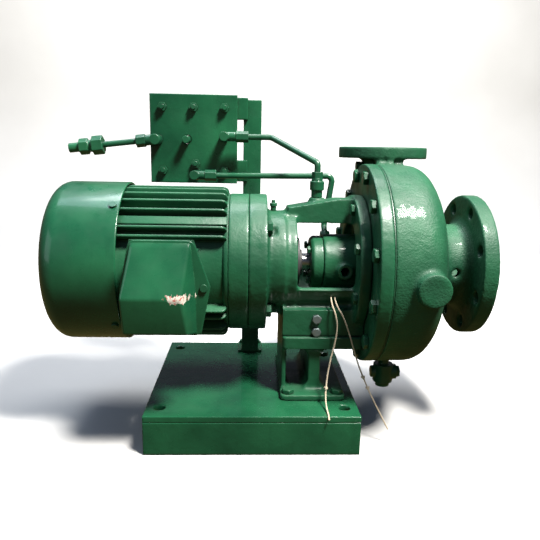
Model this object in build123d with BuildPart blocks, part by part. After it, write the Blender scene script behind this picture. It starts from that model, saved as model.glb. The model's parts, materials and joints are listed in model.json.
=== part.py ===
from build123d import *
import math
import os

# A close-coupled end-suction water pump on a boxed steel base, with its flush tubing
# and instrument panel. Millimetres, +Z up, +X along the shaft from motor to suction,
# origin at the centre of the base's underside.

os.makedirs("parts", exist_ok=True)

# ---- driving dimensions ----
clearance = 0.3          # between parts that only pass each other
running = 0.05           # radial gap of a turning fit

base_length = 324.0
base_width = 324.0
base_height = 62.0
base_plate = 10.0
base_wall = 8.0
base_hole = 18.0
base_hole_x = 282.0
base_hole_y = 262.0

shaft_height = 204.0     # above the base's top
shaft_y = -12.0
shaft_radius = 14.2875   # 1 1/8 in shaft
motor_shaft_radius = 17.5

foot_left = 44.0
foot_right = 146.0
foot_half_width = 96.0
foot_pad = 9.0
foot_drop = 105.0        # from the shaft's axis down to the top of the foot's ledge
foot_ledge_gap = 1.0     # between the ledge and the cover's flange
foot_ledge_left = 46.0
foot_ledge_half_width = 80.0
foot_ledge = 20.0
foot_web = 19.0
foot_web_x = 98.0
foot_flare = 9.0         # the web widens by this under the ledge and over the pad
foot_flare_height = 12.0
saddle_height = 43.0
saddle_half_width = 74.0

motor_left = -222.0      # fan-end face of the frame
motor_right = -39.0      # drive-end face of the frame
barrel_radius = 106.0
barrel_wall = 6.0
fin_height = 16.0
fin_thickness = 3.5
fin_count = 9            # above the motor, and as many below
fin_step = 10.0          # degrees between fins
side_fins = (55.0, 62.0)  # degrees from upright, beyond the plain strips
bell_length = 31.0
face_radius = 111.0      # C-face end shield and the adapter flange on it
face_bolt_circle = 184.15

cowl_left = -313.0
cowl_right = -198.0
cowl_radius = 127.0
cowl_hole = 7.0
cowl_hole_rings = ((10, 34), (16, 56), (22, 78))
cowl_wall = 3.0
cowl_bevel = 20.0

adapter_flange = 28.0
neck_radius = 85.0
neck_end = 67.0
neck_wall = 12.0
cradle_radius = 80.0
cradle_wall = 9.0
arm_bottom = 59.0        # height of the upper arm's underside above the shaft
frame_flange_left = 157.0
frame_flange_radius = 112.0

cover_left = 175.0       # cover flange's outer face
cover_flange = 20.0
casing_radius = 162.0
gasket = 1.5
casing_right = 290.0
casing_wall = 12.0
casing_bolt_inset = 16.0
casing_bolt_count = 12

suction_face = 365.0
suction_flange_radius = 114.3   # 4 in class 150 flange
suction_flange = 23.9
suction_bolt_circle = 190.5
suction_bolt_hole = 19.05
suction_bore = 50.8
suction_neck = 66.0

discharge_x = 226.0
discharge_offset = 93.0  # from the shaft's axis towards the back
discharge_face = 189.5   # above the shaft's axis
discharge_flange_radius = 76.2  # 2 in class 150 flange
discharge_flange = 19.1
discharge_bolt_circle = 120.65
discharge_bolt_hole = 19.05
discharge_bore = 26.2
discharge_neck = 34.0

impeller_radius = 122.0
impeller_gap = 2.5       # between the cover's spigot and the impeller's back
spigot_depth = 6.0
impeller_width = 34.0
eye_radius = 46.0

gland_left = 92.0
gland_right = 112.0
gland_radius = 44.0
gland_bolt_circle = 70.0
box_radius = 47.0        # outside of the seal chamber on the cover
box_bore = 27.0

post_width = 32.0
post_x = -20.0
post_gap = 7.0           # between the motor's end shield and the post
post_thickness = 5.0
post_rise = 267.0        # from the shaft's axis to the top of the post
panel_left = -183.0
panel_size = 152.4
panel_rise = 121.0       # from the shaft's axis to the underside of the panel
panel_thickness = 9.5
bar_thickness = 6.0
bar_height = 38.0
bar_lap = 8.0            # how far each bar reaches on to the post
bar_inset = 4.0
tube_radius = 5.0
line_gap = 28.5          # from the panel's front to the plane of the flush tubing

base_top = base_height
shaft_z = base_top + shaft_height
shaft_axis = Axis((0, shaft_y, shaft_z), (1, 0, 0))
lengthwise = Plane(origin=(0, shaft_y, shaft_z), x_dir=(1, 0, 0), z_dir=(0, -1, 0))
post_y = shaft_y + face_radius + post_gap
post_top = shaft_z + post_rise
panel_bottom = shaft_z + panel_rise
panel_front = post_y - bar_thickness - panel_thickness
line_y = panel_front - line_gap
fin_radius = barrel_radius + fin_height
cover_right = cover_left + cover_flange
casing_left = cover_right + gasket
casing_bolt_circle = 2 * (casing_radius - casing_bolt_inset)
impeller_left = casing_left + spigot_depth + impeller_gap


def across(x, y=shaft_y, z=shaft_z):
    """The plane across the shaft at x: its own x is +Y and its own y is +Z."""
    return Plane(origin=(x, y, z), x_dir=(0, 1, 0), z_dir=(1, 0, 0))


def facing_front(y, x=0.0, z=shaft_z):
    """A plane facing the front (-Y): its own x is +X and its own y is +Z."""
    return Plane(origin=(x, y, z), x_dir=(1, 0, 0), z_dir=(0, -1, 0))


def save(piece, name):
    piece.part.label = name
    export_step(piece.part, "parts/" + name + ".step")


def turned(points):
    """A solid turned about the shaft's axis from (x, radius) points."""
    with BuildPart() as piece:
        with BuildSketch(lengthwise):
            with BuildLine():
                Polyline(*points, close=True)
            make_face()
        revolve(axis=shaft_axis)
    return piece


def ring(left, right, outer, inner):
    return turned([(left, inner), (right, inner), (right, outer), (left, outer)])


def hex_bolts(plane, spots, shank, reach, across_flats, head):
    """Hex-head bolts on a plane: the heads stand on it, the shanks go behind it."""
    with BuildPart() as piece:
        with BuildSketch(plane):
            with Locations(*spots):
                RegularPolygon(across_flats / 2, 6, major_radius=False)
        extrude(amount=head)
        with BuildSketch(plane):
            with Locations(*spots):
                Circle(shank)
        extrude(amount=-reach)
    return piece


def circle_spots(diameter, count, start):
    """Points on a bolt circle, as (x, y) on the circle's own plane."""
    spots = []
    for step in range(count):
        angle = math.radians(start + step * 360 / count)
        spots.append((diameter / 2 * math.cos(angle), diameter / 2 * math.sin(angle)))
    return spots


def stub(start, direction, length, radius, bore=0.0, flats=False):
    """A straight fitting from a point along a direction, round or hexagonal."""
    plane = Plane(origin=start, z_dir=direction)
    with BuildPart() as piece:
        with BuildSketch(plane):
            if flats:
                RegularPolygon(radius, 6, major_radius=False)
            else:
                Circle(radius)
            if bore:
                Circle(bore, mode=Mode.SUBTRACT)
        extrude(amount=length)
    return piece


def tube(points, bend, radius, bore):
    """A bent tube through the points, with one bend radius."""
    with BuildPart() as piece:
        with BuildLine() as route:
            FilletPolyline(*points, radius=bend)
        start = route.line @ 0
        with BuildSketch(Plane(origin=start, z_dir=route.line % 0)):
            Circle(radius)
            Circle(bore, mode=Mode.SUBTRACT)
        sweep(path=route.line)
    return piece


# ---- base ----
hole_spots = [
    (sx * base_hole_x / 2, sy * base_hole_y / 2) for sx in (-1, 1) for sy in (-1, 1)
]
foot_middle = (foot_left + foot_right) / 2
foot_bolt_inset = 12.0
foot_bolt_x = (foot_right - foot_left) / 2 - foot_bolt_inset
foot_bolt_y = foot_half_width - foot_bolt_inset
foot_bolt_spots = [
    (foot_middle + sx * foot_bolt_x, shaft_y + sy * foot_bolt_y)
    for sx in (-1, 1)
    for sy in (-1, 1)
]
foot_bolt_shank = 5.0
post_foot_length = 60.0
post_foot_plate = 6.0
post_middle = post_x + post_width / 2
post_bolt_gap = 26.0
post_bolt_reach = 42.0
post_bolt_spots = [
    (post_middle + side * post_bolt_gap / 2, post_y + post_bolt_reach) for side in (-1, 1)
]
post_bolt_shank = 4.0

with BuildPart() as base_top_plate:
    with BuildSketch(Plane.XY.offset(base_height - base_plate)):
        Rectangle(base_length, base_width)
        with Locations(*hole_spots):
            Circle(base_hole / 2, mode=Mode.SUBTRACT)
        with Locations(*foot_bolt_spots):
            Circle(foot_bolt_shank + clearance, mode=Mode.SUBTRACT)
        with Locations(*post_bolt_spots):
            Circle(post_bolt_shank + clearance, mode=Mode.SUBTRACT)
    extrude(amount=base_plate)
save(base_top_plate, "base_top_plate")

with BuildPart() as base_skirt:
    with BuildSketch(Plane.XY):
        Rectangle(base_length, base_width)
        Rectangle(base_length - 2 * base_wall, base_width - 2 * base_wall, mode=Mode.SUBTRACT)
    extrude(amount=base_height - base_plate)
save(base_skirt, "base_skirt")

# ---- pump foot ----
ledge_top = shaft_z - foot_drop
ledge_bottom = ledge_top - foot_ledge
pad_top = base_top + foot_pad
foot_ledge_right = cover_left - foot_ledge_gap
foot_corner = 6.0
foot_web_half_width = 72.0
foot_rib = 7.0           # the thinner plate at the motor end of the foot
foot_rib_half_width = 70.0
with BuildPart() as pump_foot:
    with BuildSketch(Plane.XY.offset(base_top)):
        with Locations((foot_middle, shaft_y)):
            RectangleRounded(foot_right - foot_left, 2 * foot_half_width, foot_corner)
        with Locations(*foot_bolt_spots):
            Circle(foot_bolt_shank + clearance, mode=Mode.SUBTRACT)
    extrude(amount=foot_pad)
    # the web's outline from the front, with its flares
    with BuildSketch(facing_front(shaft_y, foot_web_x, 0)):
        with BuildLine():
            Polyline(
                (-foot_web / 2 - foot_flare, pad_top),
                (-foot_web / 2, pad_top + foot_flare_height),
                (-foot_web / 2, ledge_bottom - foot_flare_height),
                (-foot_web / 2 - foot_flare, ledge_bottom),
                (foot_web / 2 + foot_flare, ledge_bottom),
                (foot_web / 2, ledge_bottom - foot_flare_height),
                (foot_web / 2, pad_top + foot_flare_height),
                (foot_web / 2 + foot_flare, pad_top),
                close=True,
            )
        make_face()
    extrude(amount=foot_web_half_width, both=True)
    with BuildSketch(Plane.XY.offset(pad_top)):
        with Locations((foot_ledge_left + foot_rib / 2, shaft_y)):
            Rectangle(foot_rib, 2 * foot_rib_half_width)
    extrude(amount=ledge_bottom - pad_top)
    with BuildSketch(Plane.XY.offset(ledge_bottom)):
        with Locations(((foot_ledge_left + foot_ledge_right) / 2, shaft_y)):
            RectangleRounded(
                foot_ledge_right - foot_ledge_left, 2 * foot_ledge_half_width, foot_corner
            )
    extrude(amount=foot_ledge)
save(pump_foot, "pump_foot")

bolt_end = 8.0           # what a bolt shows under the base's top plate
foot_bolt_flats = 17.0
foot_bolt_head = 7.0
post_bolt_flats = 13.0
post_bolt_head = 5.5
foot_bolts = hex_bolts(
    Plane.XY.offset(pad_top),
    foot_bolt_spots,
    foot_bolt_shank,
    foot_pad + base_plate + bolt_end,
    foot_bolt_flats,
    foot_bolt_head,
)
post_bolts = hex_bolts(
    Plane.XY.offset(base_top + post_foot_plate),
    post_bolt_spots,
    post_bolt_shank,
    post_foot_plate + base_plate + bolt_end,
    post_bolt_flats,
    post_bolt_head,
)
with BuildPart() as base_bolts:
    add(foot_bolts.part)
    add(post_bolts.part)
save(base_bolts, "base_bolts")

# ---- adapter frame between the motor and the pump ----
face_left = motor_right + bell_length        # where the adapter meets the end shield
adapter_right = face_left + adapter_flange
face_spots = circle_spots(face_bolt_circle, 4, 45)
frame_flange = cover_left - frame_flange_left
frame_bolt_inset = 13.0
frame_bolt_circle = 2 * (frame_flange_radius - frame_bolt_inset)
frame_bolt_shank = 5.0
frame_bolt_flats = 16.0
frame_bolt_head = 6.5
lowest_frame_bolt = -60.0  # the saddle takes the room below this height
frame_spots = [
    (y, z) for y, z in circle_spots(frame_bolt_circle, 8, 22.5) if z > lowest_frame_bolt
]
arm_half_width = 24.0
arm_top_left = 92.0
arm_top_right = 106.0
saddle_top = saddle_height - foot_drop
saddle_right = foot_ledge_right
cradle_edge = 22.0       # degrees below the shaft where the trough's sides end
arm_port_x = 101.0
arm_boss_height = 107.0
arm_boss_radius = 12.5
face_bolt_flats = 19.0
face_bolt_head = 8.0
face_bolt_shank = 6.2
face_bolt_depth = 20.0   # how far the bolts enter the end shield
neck_step = 3.0          # the neck's second diameter is smaller by this
neck_step_length = 18.0
neck_lip = 31.0          # the inward lip round the shaft opening
neck_lip_width = 10.0

with BuildPart() as adapter_frame:
    with BuildSketch(lengthwise):
        with BuildLine():
            Polyline(
                (face_left, neck_radius - neck_wall),
                (face_left, face_radius),
                (adapter_right, face_radius),
                (adapter_right, neck_radius),
                (neck_end - neck_step_length, neck_radius),
                (neck_end - neck_step_length, neck_radius - neck_step),
                (neck_end, neck_radius - neck_step),
                (neck_end, neck_radius - neck_lip),
                (neck_end - neck_lip_width, neck_radius - neck_lip),
                (neck_end - neck_lip_width, neck_radius - neck_wall),
                close=True,
            )
        make_face()
    revolve(axis=shaft_axis)
    with BuildSketch(across(frame_flange_left)):
        Circle(frame_flange_radius)
        Circle(box_radius + 6, mode=Mode.SUBTRACT)
    extrude(amount=frame_flange)
    # upper arm, rising from the neck to the flange
    with BuildSketch(lengthwise):
        with BuildLine():
            Polyline(
                (neck_end - 14, arm_bottom),
                (neck_end - 14, arm_top_left),
                (frame_flange_left - 26, arm_top_right),
                (frame_flange_left, arm_top_right),
                (frame_flange_left, arm_bottom - 12),
                (frame_flange_left - 14, arm_bottom + 4),
                (frame_flange_left - 40, arm_bottom + 10),
                close=True,
            )
        make_face()
    extrude(amount=arm_half_width, both=True)
    with BuildSketch(Plane(origin=(arm_port_x, shaft_y, shaft_z + arm_top_left))):
        Circle(arm_boss_radius)
    extrude(amount=arm_boss_height - arm_top_left)
    # the trough under the seal, open at the top
    with BuildSketch(across(neck_end - 12)):
        with BuildLine():
            outer_start = PolarLine((0, 0), cradle_radius, 180 + cradle_edge, mode=Mode.PRIVATE) @ 1
            outer_end = PolarLine((0, 0), cradle_radius, -cradle_edge, mode=Mode.PRIVATE) @ 1
            inner_wall = cradle_radius - cradle_wall
            inner_start = PolarLine((0, 0), inner_wall, 180 + cradle_edge, mode=Mode.PRIVATE) @ 1
            inner_end = PolarLine((0, 0), inner_wall, -cradle_edge, mode=Mode.PRIVATE) @ 1
            ThreePointArc(outer_start, (0, -cradle_radius), outer_end)
            Line(outer_end, inner_end)
            ThreePointArc(inner_end, (0, -inner_wall), inner_start)
            Line(inner_start, outer_start)
        make_face()
    extrude(amount=frame_flange_left - neck_end + 14)
    # the saddle block under the trough
    with BuildSketch(lengthwise):
        with BuildLine():
            Polyline(
                (foot_ledge_left, saddle_top),
                (foot_ledge_left, ledge_top - shaft_z),
                (saddle_right, ledge_top - shaft_z),
                (saddle_right, saddle_top),
                close=True,
            )
        make_face()
    extrude(amount=saddle_half_width, both=True)
    with BuildSketch(across(foot_ledge_left)):
        Circle(cradle_radius - cradle_wall)
    extrude(amount=saddle_right - foot_ledge_left, mode=Mode.SUBTRACT)
    with BuildSketch(across(face_left)):
        with Locations(*face_spots):
            Circle(face_bolt_shank + clearance)
    extrude(amount=adapter_flange, mode=Mode.SUBTRACT)
    with BuildSketch(across(adapter_right)):
        with Locations(*face_spots):
            Circle(face_bolt_flats * 0.65)
    extrude(amount=2 * face_bolt_head, mode=Mode.SUBTRACT)
    with BuildSketch(across(frame_flange_left)):
        with Locations(*frame_spots):
            Circle(frame_bolt_shank + clearance)
    extrude(amount=frame_flange, mode=Mode.SUBTRACT)
    # the flange is flat where the foot's ledge passes under it
    with BuildSketch(across(neck_end)):
        with Locations((0, -foot_drop - foot_ledge)):
            Rectangle(2 * frame_flange_radius, 2 * foot_ledge)
    extrude(amount=cover_left - neck_end, mode=Mode.SUBTRACT)
    with BuildSketch(across(neck_end - 2 * neck_lip_width)):
        Circle(neck_radius - neck_lip - 1)
    extrude(amount=4 * neck_lip_width, mode=Mode.SUBTRACT)
save(adapter_frame, "adapter_frame")

c_face_bolts = hex_bolts(
    across(adapter_right),
    face_spots,
    face_bolt_shank,
    adapter_flange + face_bolt_depth,
    face_bolt_flats,
    face_bolt_head,
)

saddle_bolt_head = 6.0
saddle_screw_x = 99.0
saddle_screw_flats = 13.0
saddle_screw_depths = (14.0, 35.0)
with BuildPart() as saddle_screws:
    for side in (-1, 1):
        face = shaft_y + side * saddle_half_width
        for depth in saddle_screw_depths:
            middle = (saddle_screw_x, face, shaft_z + saddle_top - depth)
            with BuildSketch(Plane(origin=middle, z_dir=(0, side, 0))):
                RegularPolygon(saddle_screw_flats / 2, 6, major_radius=False)
            extrude(amount=saddle_bolt_head)
save(saddle_screws, "saddle_screws")

# ---- motor ----
bearing_outer = 36.0     # drive-end bearing, 35 x 72 x 17
bearing_bore = motor_shaft_radius
bearing_width = 17.0
fan_bearing_outer = 31.0  # fan-end bearing, 30 x 62 x 16
fan_bearing_bore = 15.0
fan_bearing_width = 16.0
bearing_right = motor_right + bell_length - 6
fan_bearing_left = motor_left - 10
fin_start = 12.0         # the fins stop short of the frame's fan end by this
fin_stop = 2.0           # and of its drive end by this
pad_size = 84.0          # the flat pad under the conduit box
pad_rise = 9.0
pad_depth = 16.0
cowl_lug_width = 14.0
cowl_lug_length = 18.0
box_x = -127.0           # the conduit box's middle along the motor
shield_hub = 8.0         # wall round a bearing
shield_wall = 12.0
shield_bore = motor_shaft_radius + 1.5
shield_opening = barrel_radius - barrel_wall - 10

with BuildPart() as motor_frame:
    with BuildSketch(across(motor_left)):
        Circle(barrel_radius)
        Circle(barrel_radius - barrel_wall, mode=Mode.SUBTRACT)
    extrude(amount=motor_right - motor_left)
    fin_angles = []
    for step in range(fin_count):
        offset = (step - (fin_count - 1) / 2) * fin_step
        fin_angles.append(90 + offset)
        fin_angles.append(270 + offset)
    for offset in side_fins:
        for upright in (90, 270):
            fin_angles.append(upright + offset)
            fin_angles.append(upright - offset)
    with BuildSketch(across(motor_left + fin_start)):
        for angle in fin_angles:
            with PolarLocations(0, 1, start_angle=angle):
                with Locations((barrel_radius + (fin_radius - barrel_radius) / 2 - 1, 0)):
                    Rectangle(fin_radius - barrel_radius + 2, fin_thickness)
    extrude(amount=motor_right - motor_left - fin_start - fin_stop)
    # pad for the conduit box
    with BuildSketch(facing_front(shaft_y - barrel_radius - pad_rise, x=box_x)):
        Rectangle(pad_size, pad_size)
    extrude(amount=-pad_depth)
    with BuildSketch(across(motor_left)):
        Circle(barrel_radius - barrel_wall)
    extrude(amount=motor_right - motor_left, mode=Mode.SUBTRACT)
    # lugs that carry the fan cowl
    lug_inner = barrel_radius - 1
    lug_outer = cowl_radius - cowl_wall - clearance
    with BuildSketch(across(motor_left + barrel_wall)):
        with PolarLocations((lug_inner + lug_outer) / 2, 4, start_angle=40):
            Rectangle(lug_outer - lug_inner, cowl_lug_width)
    extrude(amount=cowl_lug_length)
save(motor_frame, "motor_frame")

with BuildPart() as drive_end_bell:
    with BuildSketch(lengthwise):
        with BuildLine():
            Polyline(
                (motor_right, shield_opening),
                (motor_right, face_radius),
                (face_left, face_radius),
                (face_left, shield_bore),
                (bearing_right, shield_bore),
                (bearing_right, bearing_outer),
                (bearing_right - bearing_width, bearing_outer),
                (bearing_right - bearing_width, bearing_outer + shield_hub),
                (face_left - shield_wall, bearing_outer + shield_hub),
                (face_left - shield_wall, shield_opening),
                close=True,
            )
        make_face()
    revolve(axis=shaft_axis)
    with BuildSketch(across(face_left - face_bolt_depth - 1)):
        with Locations(*face_spots):
            Circle(face_bolt_shank + clearance)
    extrude(amount=face_bolt_depth + 1, mode=Mode.SUBTRACT)
save(drive_end_bell, "drive_end_bell")

fan_end_bell = turned(
    [
        (fan_bearing_left - 4, fan_bearing_bore + 2),
        (fan_bearing_left - 4, fan_bearing_outer + shield_hub),
        (fan_bearing_left, fan_bearing_outer + shield_hub),
        (fan_bearing_left, barrel_radius - 6),
        (motor_left, barrel_radius - 2),
        (motor_left, shield_opening),
        (motor_left - 4, fan_bearing_outer + shield_hub),
        (fan_bearing_left + fan_bearing_width, fan_bearing_outer + shield_hub),
        (fan_bearing_left + fan_bearing_width, fan_bearing_outer),
        (fan_bearing_left, fan_bearing_outer),
        (fan_bearing_left, fan_bearing_bore + 2),
    ]
)
save(fan_end_bell, "fan_end_bell")

stator_left = -176.0
stator_right = -86.0
stator_bore = 58.0
air_gap = 0.5
winding_radius = 88.0
winding_length = 22.0
core_seat = motor_shaft_radius + 4
core_overhang = 2.0
stator_core = ring(stator_left, stator_right, barrel_radius - barrel_wall, stator_bore)
save(stator_core, "stator_core")

with BuildPart() as stator_windings:
    for start in (stator_left - winding_length, stator_right):
        with BuildSketch(across(start)):
            Circle(winding_radius)
            Circle(stator_bore + 4, mode=Mode.SUBTRACT)
        extrude(amount=winding_length)
save(stator_windings, "stator_windings")

rotor_core = ring(
    stator_left - core_overhang, stator_right + core_overhang, stator_bore - air_gap, core_seat
)
save(rotor_core, "rotor_core")

impeller_seat = 11.0
impeller_hub_right = impeller_left + 30
nut_thread = 8.0
shaft_right = impeller_hub_right + 2 * nut_thread
fan_seat = 12.5
shaft_left = cowl_left + 23
shaft = turned(
    [
        (shaft_left, 0),
        (shaft_left, fan_seat),
        (fan_bearing_left - 1, fan_seat),
        (fan_bearing_left - 1, fan_bearing_bore),
        (fan_bearing_left + fan_bearing_width, fan_bearing_bore),
        (fan_bearing_left + fan_bearing_width, motor_shaft_radius + 1.5),
        (stator_left - core_overhang, motor_shaft_radius + 1.5),
        (stator_left - core_overhang, core_seat),
        (stator_right + core_overhang, core_seat),
        (stator_right + core_overhang, motor_shaft_radius + 2.5),
        (bearing_right - bearing_width, motor_shaft_radius + 2.5),
        (bearing_right - bearing_width, motor_shaft_radius),
        (bearing_right + 2, motor_shaft_radius),
        (bearing_right + 2, shaft_radius),
        (impeller_left - 4, shaft_radius),
        (impeller_left - 4, impeller_seat),
        (impeller_hub_right, impeller_seat),
        (impeller_hub_right, nut_thread),
        (shaft_right, nut_thread),
        (shaft_right, 0),
    ]
)
save(shaft, "shaft")


def ball_bearing(prefix, left, width, bore, outer):
    """The outer ring, the inner ring and the balls, with running gaps."""
    pitch = (bore + outer) / 2
    ball = (outer - bore) * 0.28
    ring_wall = (outer - bore) / 2 - ball * 0.55
    middle = left + width / 2
    with BuildPart() as outer_ring:
        with BuildSketch(across(left)):
            Circle(outer)
            Circle(outer - ring_wall, mode=Mode.SUBTRACT)
        extrude(amount=width)
        with BuildSketch(lengthwise):
            with Locations((middle, pitch)):
                Circle(ball + 2 * running)
        revolve(axis=shaft_axis, mode=Mode.SUBTRACT)
    save(outer_ring, prefix + "_bearing_outer_ring")
    with BuildPart() as inner_ring:
        with BuildSketch(across(left)):
            Circle(bore + ring_wall)
            Circle(bore, mode=Mode.SUBTRACT)
        extrude(amount=width)
        with BuildSketch(lengthwise):
            with Locations((middle, pitch)):
                Circle(ball + 2 * running)
        revolve(axis=shaft_axis, mode=Mode.SUBTRACT)
    save(inner_ring, prefix + "_bearing_inner_ring")
    with BuildPart() as balls:
        with Locations(across(middle)):
            with PolarLocations(pitch, 9):
                Sphere(ball)
    save(balls, prefix + "_bearing_balls")


ball_bearing("drive", bearing_right - bearing_width, bearing_width, bearing_bore, bearing_outer)
ball_bearing("fan", fan_bearing_left, fan_bearing_width, fan_bearing_bore, fan_bearing_outer)

fan_left = cowl_left + 24
fan_right = motor_left - 18
fan_hub = 24.0
fan_disc = 98.0
fan_disc_thickness = 4.0
blade_count = 8
blade_inner = fan_hub - 4
blade_outer = fan_disc - 2
blade_thickness = 3.0
with BuildPart() as cooling_fan:
    with BuildSketch(across(fan_left)):
        Circle(fan_hub)
        Circle(fan_seat, mode=Mode.SUBTRACT)
    extrude(amount=fan_right - fan_left)
    with BuildSketch(across(fan_right - fan_disc_thickness)):
        Circle(fan_disc)
        Circle(blade_inner, mode=Mode.SUBTRACT)
    extrude(amount=fan_disc_thickness)
    with BuildSketch(across(fan_left + 2)):
        with PolarLocations((blade_inner + blade_outer) / 2, blade_count):
            Rectangle(blade_outer - blade_inner, blade_thickness)
    extrude(amount=fan_right - fan_left - fan_disc_thickness)
save(cooling_fan, "cooling_fan")

with BuildPart() as fan_cowl:
    with BuildSketch(lengthwise):
        with BuildLine():
            Polyline(
                (cowl_right, cowl_radius - cowl_wall),
                (cowl_right, cowl_radius),
                (cowl_left + cowl_bevel, cowl_radius),
                (cowl_left + cowl_bevel * 0.3, cowl_radius - cowl_bevel * 0.45),
                (cowl_left, cowl_radius - cowl_bevel),
                (cowl_left, 0),
                (cowl_left + cowl_wall, 0),
                (cowl_left + cowl_wall, cowl_radius - cowl_bevel - 1),
                (cowl_left + cowl_bevel * 0.3 + cowl_wall, cowl_radius - cowl_bevel * 0.45 - cowl_wall),
                (cowl_left + cowl_bevel, cowl_radius - cowl_wall),
                close=True,
            )
        make_face()
    revolve(axis=shaft_axis)
    with BuildSketch(across(cowl_left)):
        for count, circle in cowl_hole_rings:
            with PolarLocations(circle, count):
                Circle(cowl_hole)
    extrude(amount=cowl_wall, mode=Mode.SUBTRACT)
save(fan_cowl, "fan_cowl")

cover_screw = 5.5
cover_screw_head = 3.0
cowl_screw_inset = 10.0
with BuildPart() as cowl_screws:
    for angle in (40, 130, 220, 310):
        radians = math.radians(angle)
        outward = (0, math.cos(radians), math.sin(radians))
        foot = (
            cowl_right - cowl_screw_inset,
            shaft_y + (cowl_radius + 0.01) * outward[1],
            shaft_z + (cowl_radius + 0.01) * outward[2],
        )
        with BuildSketch(Plane(origin=foot, z_dir=outward)):
            Circle(cover_screw)
        extrude(amount=cover_screw_head)

# ---- conduit box on the near side ----
box_z = shaft_z - 10.0
box_back = shaft_y - barrel_radius - pad_rise
box_depth = 34.0
box_front = box_back - box_depth
box_wall = 6.0
box_floor = 5.0
box_wide = 94.0
box_tall = 102.0
box_rim = 4.0            # the flange round the box's mouth
cable_hole = 17.0
lid_depth = 34.0
lid_gasket = 2.0
lid_flange = 4.0
lid_wall = 3.0
lid_outline = [(-45, 68), (43, 68), (66, 2), (53, -67), (-58, -67), (-60, -5)]
lid_screw_spot = (57, 2)
# the roof: its outline on the flange, then the same corners with their depth
roof_foot = [(-44, 66), (40, 66), (47, -4), (48, -65), (-56, -65), (-58, -6)]
roof_front = [(-40, 60, 6), (37, 60, 6), (28, -16, 34), (36, -60, 25), (-52, -60, 25), (-54, -16, 34)]
box_inner_wide = box_wide - 2 * box_wall
box_inner_tall = box_tall - 2 * box_wall

with BuildPart() as conduit_box:
    with BuildSketch(facing_front(box_back, box_x, box_z)):
        Rectangle(box_wide, box_tall)
    extrude(amount=box_depth)
    with BuildSketch(facing_front(box_back - box_floor, box_x, box_z)):
        Rectangle(box_inner_wide, box_inner_tall)
    extrude(amount=box_depth, mode=Mode.SUBTRACT)
    with BuildSketch(facing_front(box_front + box_rim, box_x, box_z)):
        with BuildLine():
            Polyline(*lid_outline, close=True)
        make_face()
        Rectangle(box_inner_wide, box_inner_tall, mode=Mode.SUBTRACT)
    extrude(amount=box_rim)
    with BuildSketch(facing_front(box_back + 1, box_x, box_z)):
        Circle(cable_hole)
    extrude(amount=box_floor + 3, mode=Mode.SUBTRACT)
save(conduit_box, "conduit_box")

with BuildPart() as conduit_gasket:
    with BuildSketch(facing_front(box_front, box_x, box_z)):
        with BuildLine():
            Polyline(*lid_outline, close=True)
        make_face()
        Rectangle(box_inner_wide, box_inner_tall, mode=Mode.SUBTRACT)
    extrude(amount=lid_gasket)
save(conduit_gasket, "conduit_gasket")

lid_back = box_front - lid_gasket


def roof_point(spot, depth):
    return (box_x + spot[0], lid_back - depth, box_z + spot[1])


def roof_solid(inset):
    """The roof's block between its foot on the flange and its four front corners."""
    shrink = 1 - 2 * inset / box_wide
    foot = [roof_point((x * shrink, z * shrink), 0) for x, z in roof_foot]
    front = [roof_point((x * shrink, z * shrink), depth - inset) for x, z, depth in roof_front]
    with BuildPart() as piece:
        with BuildSketch(facing_front(lid_back, box_x, box_z)):
            with BuildLine():
                Polyline(*[(x * shrink, z * shrink) for x, z in roof_foot], close=True)
            make_face()
        extrude(amount=lid_depth - inset)
        # slabs in front of the upper, lower, left, right, top and bottom faces come off
        for first, second, third in (
            (front[0], front[1], front[2]),
            (front[5], front[2], front[3]),
            (front[5], foot[5], foot[0]),
            (foot[1], foot[2], front[2]),
            (foot[2], foot[3], front[3]),
            (foot[4], foot[5], front[5]),
            (foot[0], foot[1], front[1]),
            (foot[3], foot[4], front[4]),
        ):
            normal = (Vector(*second) - Vector(*first)).cross(Vector(*third) - Vector(*first))
            middle = Vector(*roof_point((0, 0), 0))
            if normal.dot(middle - Vector(*first)) > 0:
                normal = normal * -1
            with BuildSketch(Plane(origin=first, z_dir=normal)):
                Rectangle(4 * box_wide, 4 * box_wide)
            extrude(amount=box_wide, mode=Mode.SUBTRACT)
    return piece


lid_roof = roof_solid(0)
lid_hollow = roof_solid(lid_wall)
with BuildPart() as conduit_cover:
    with BuildSketch(facing_front(lid_back, box_x, box_z)):
        with BuildLine():
            Polyline(*lid_outline, close=True)
        make_face()
    extrude(amount=lid_flange)
    add(lid_roof.part)
    add(lid_hollow.part, mode=Mode.SUBTRACT)
save(conduit_cover, "conduit_cover")

with BuildPart() as lid_screw:
    with BuildSketch(facing_front(lid_back - lid_flange, box_x, box_z)):
        with Locations(lid_screw_spot):
            Circle(cover_screw)
    extrude(amount=cover_screw_head)
with BuildPart() as cover_screws:
    add(cowl_screws.part)
    add(lid_screw.part)
save(cover_screws, "cover_screws")

# ---- seal chamber cover, gland and seal ----
spigot_radius = casing_radius - 28
casing_spots = circle_spots(casing_bolt_circle, casing_bolt_count, 15)
casing_bolt_shank = 6.0
casing_bolt_depth = 14.0
casing_bolt_flats = 19.0
casing_bolt_head = 8.0
gland_spots = circle_spots(gland_bolt_circle, 4, 45)
cover_bore = shaft_radius + 3
cover_back_wall = 8.0
gland_bolt_shank = 4.0
gland_bolt_flats = 11.0
gland_bolt_head = 6.0
gland_bolt_depth = 12.0
frame_bolt_depth = 12.0
side_port_x = 145.0
side_port_z = shaft_z - 6
side_port = 7.0
side_boss = 13.0
side_boss_rise = 6.0

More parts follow.
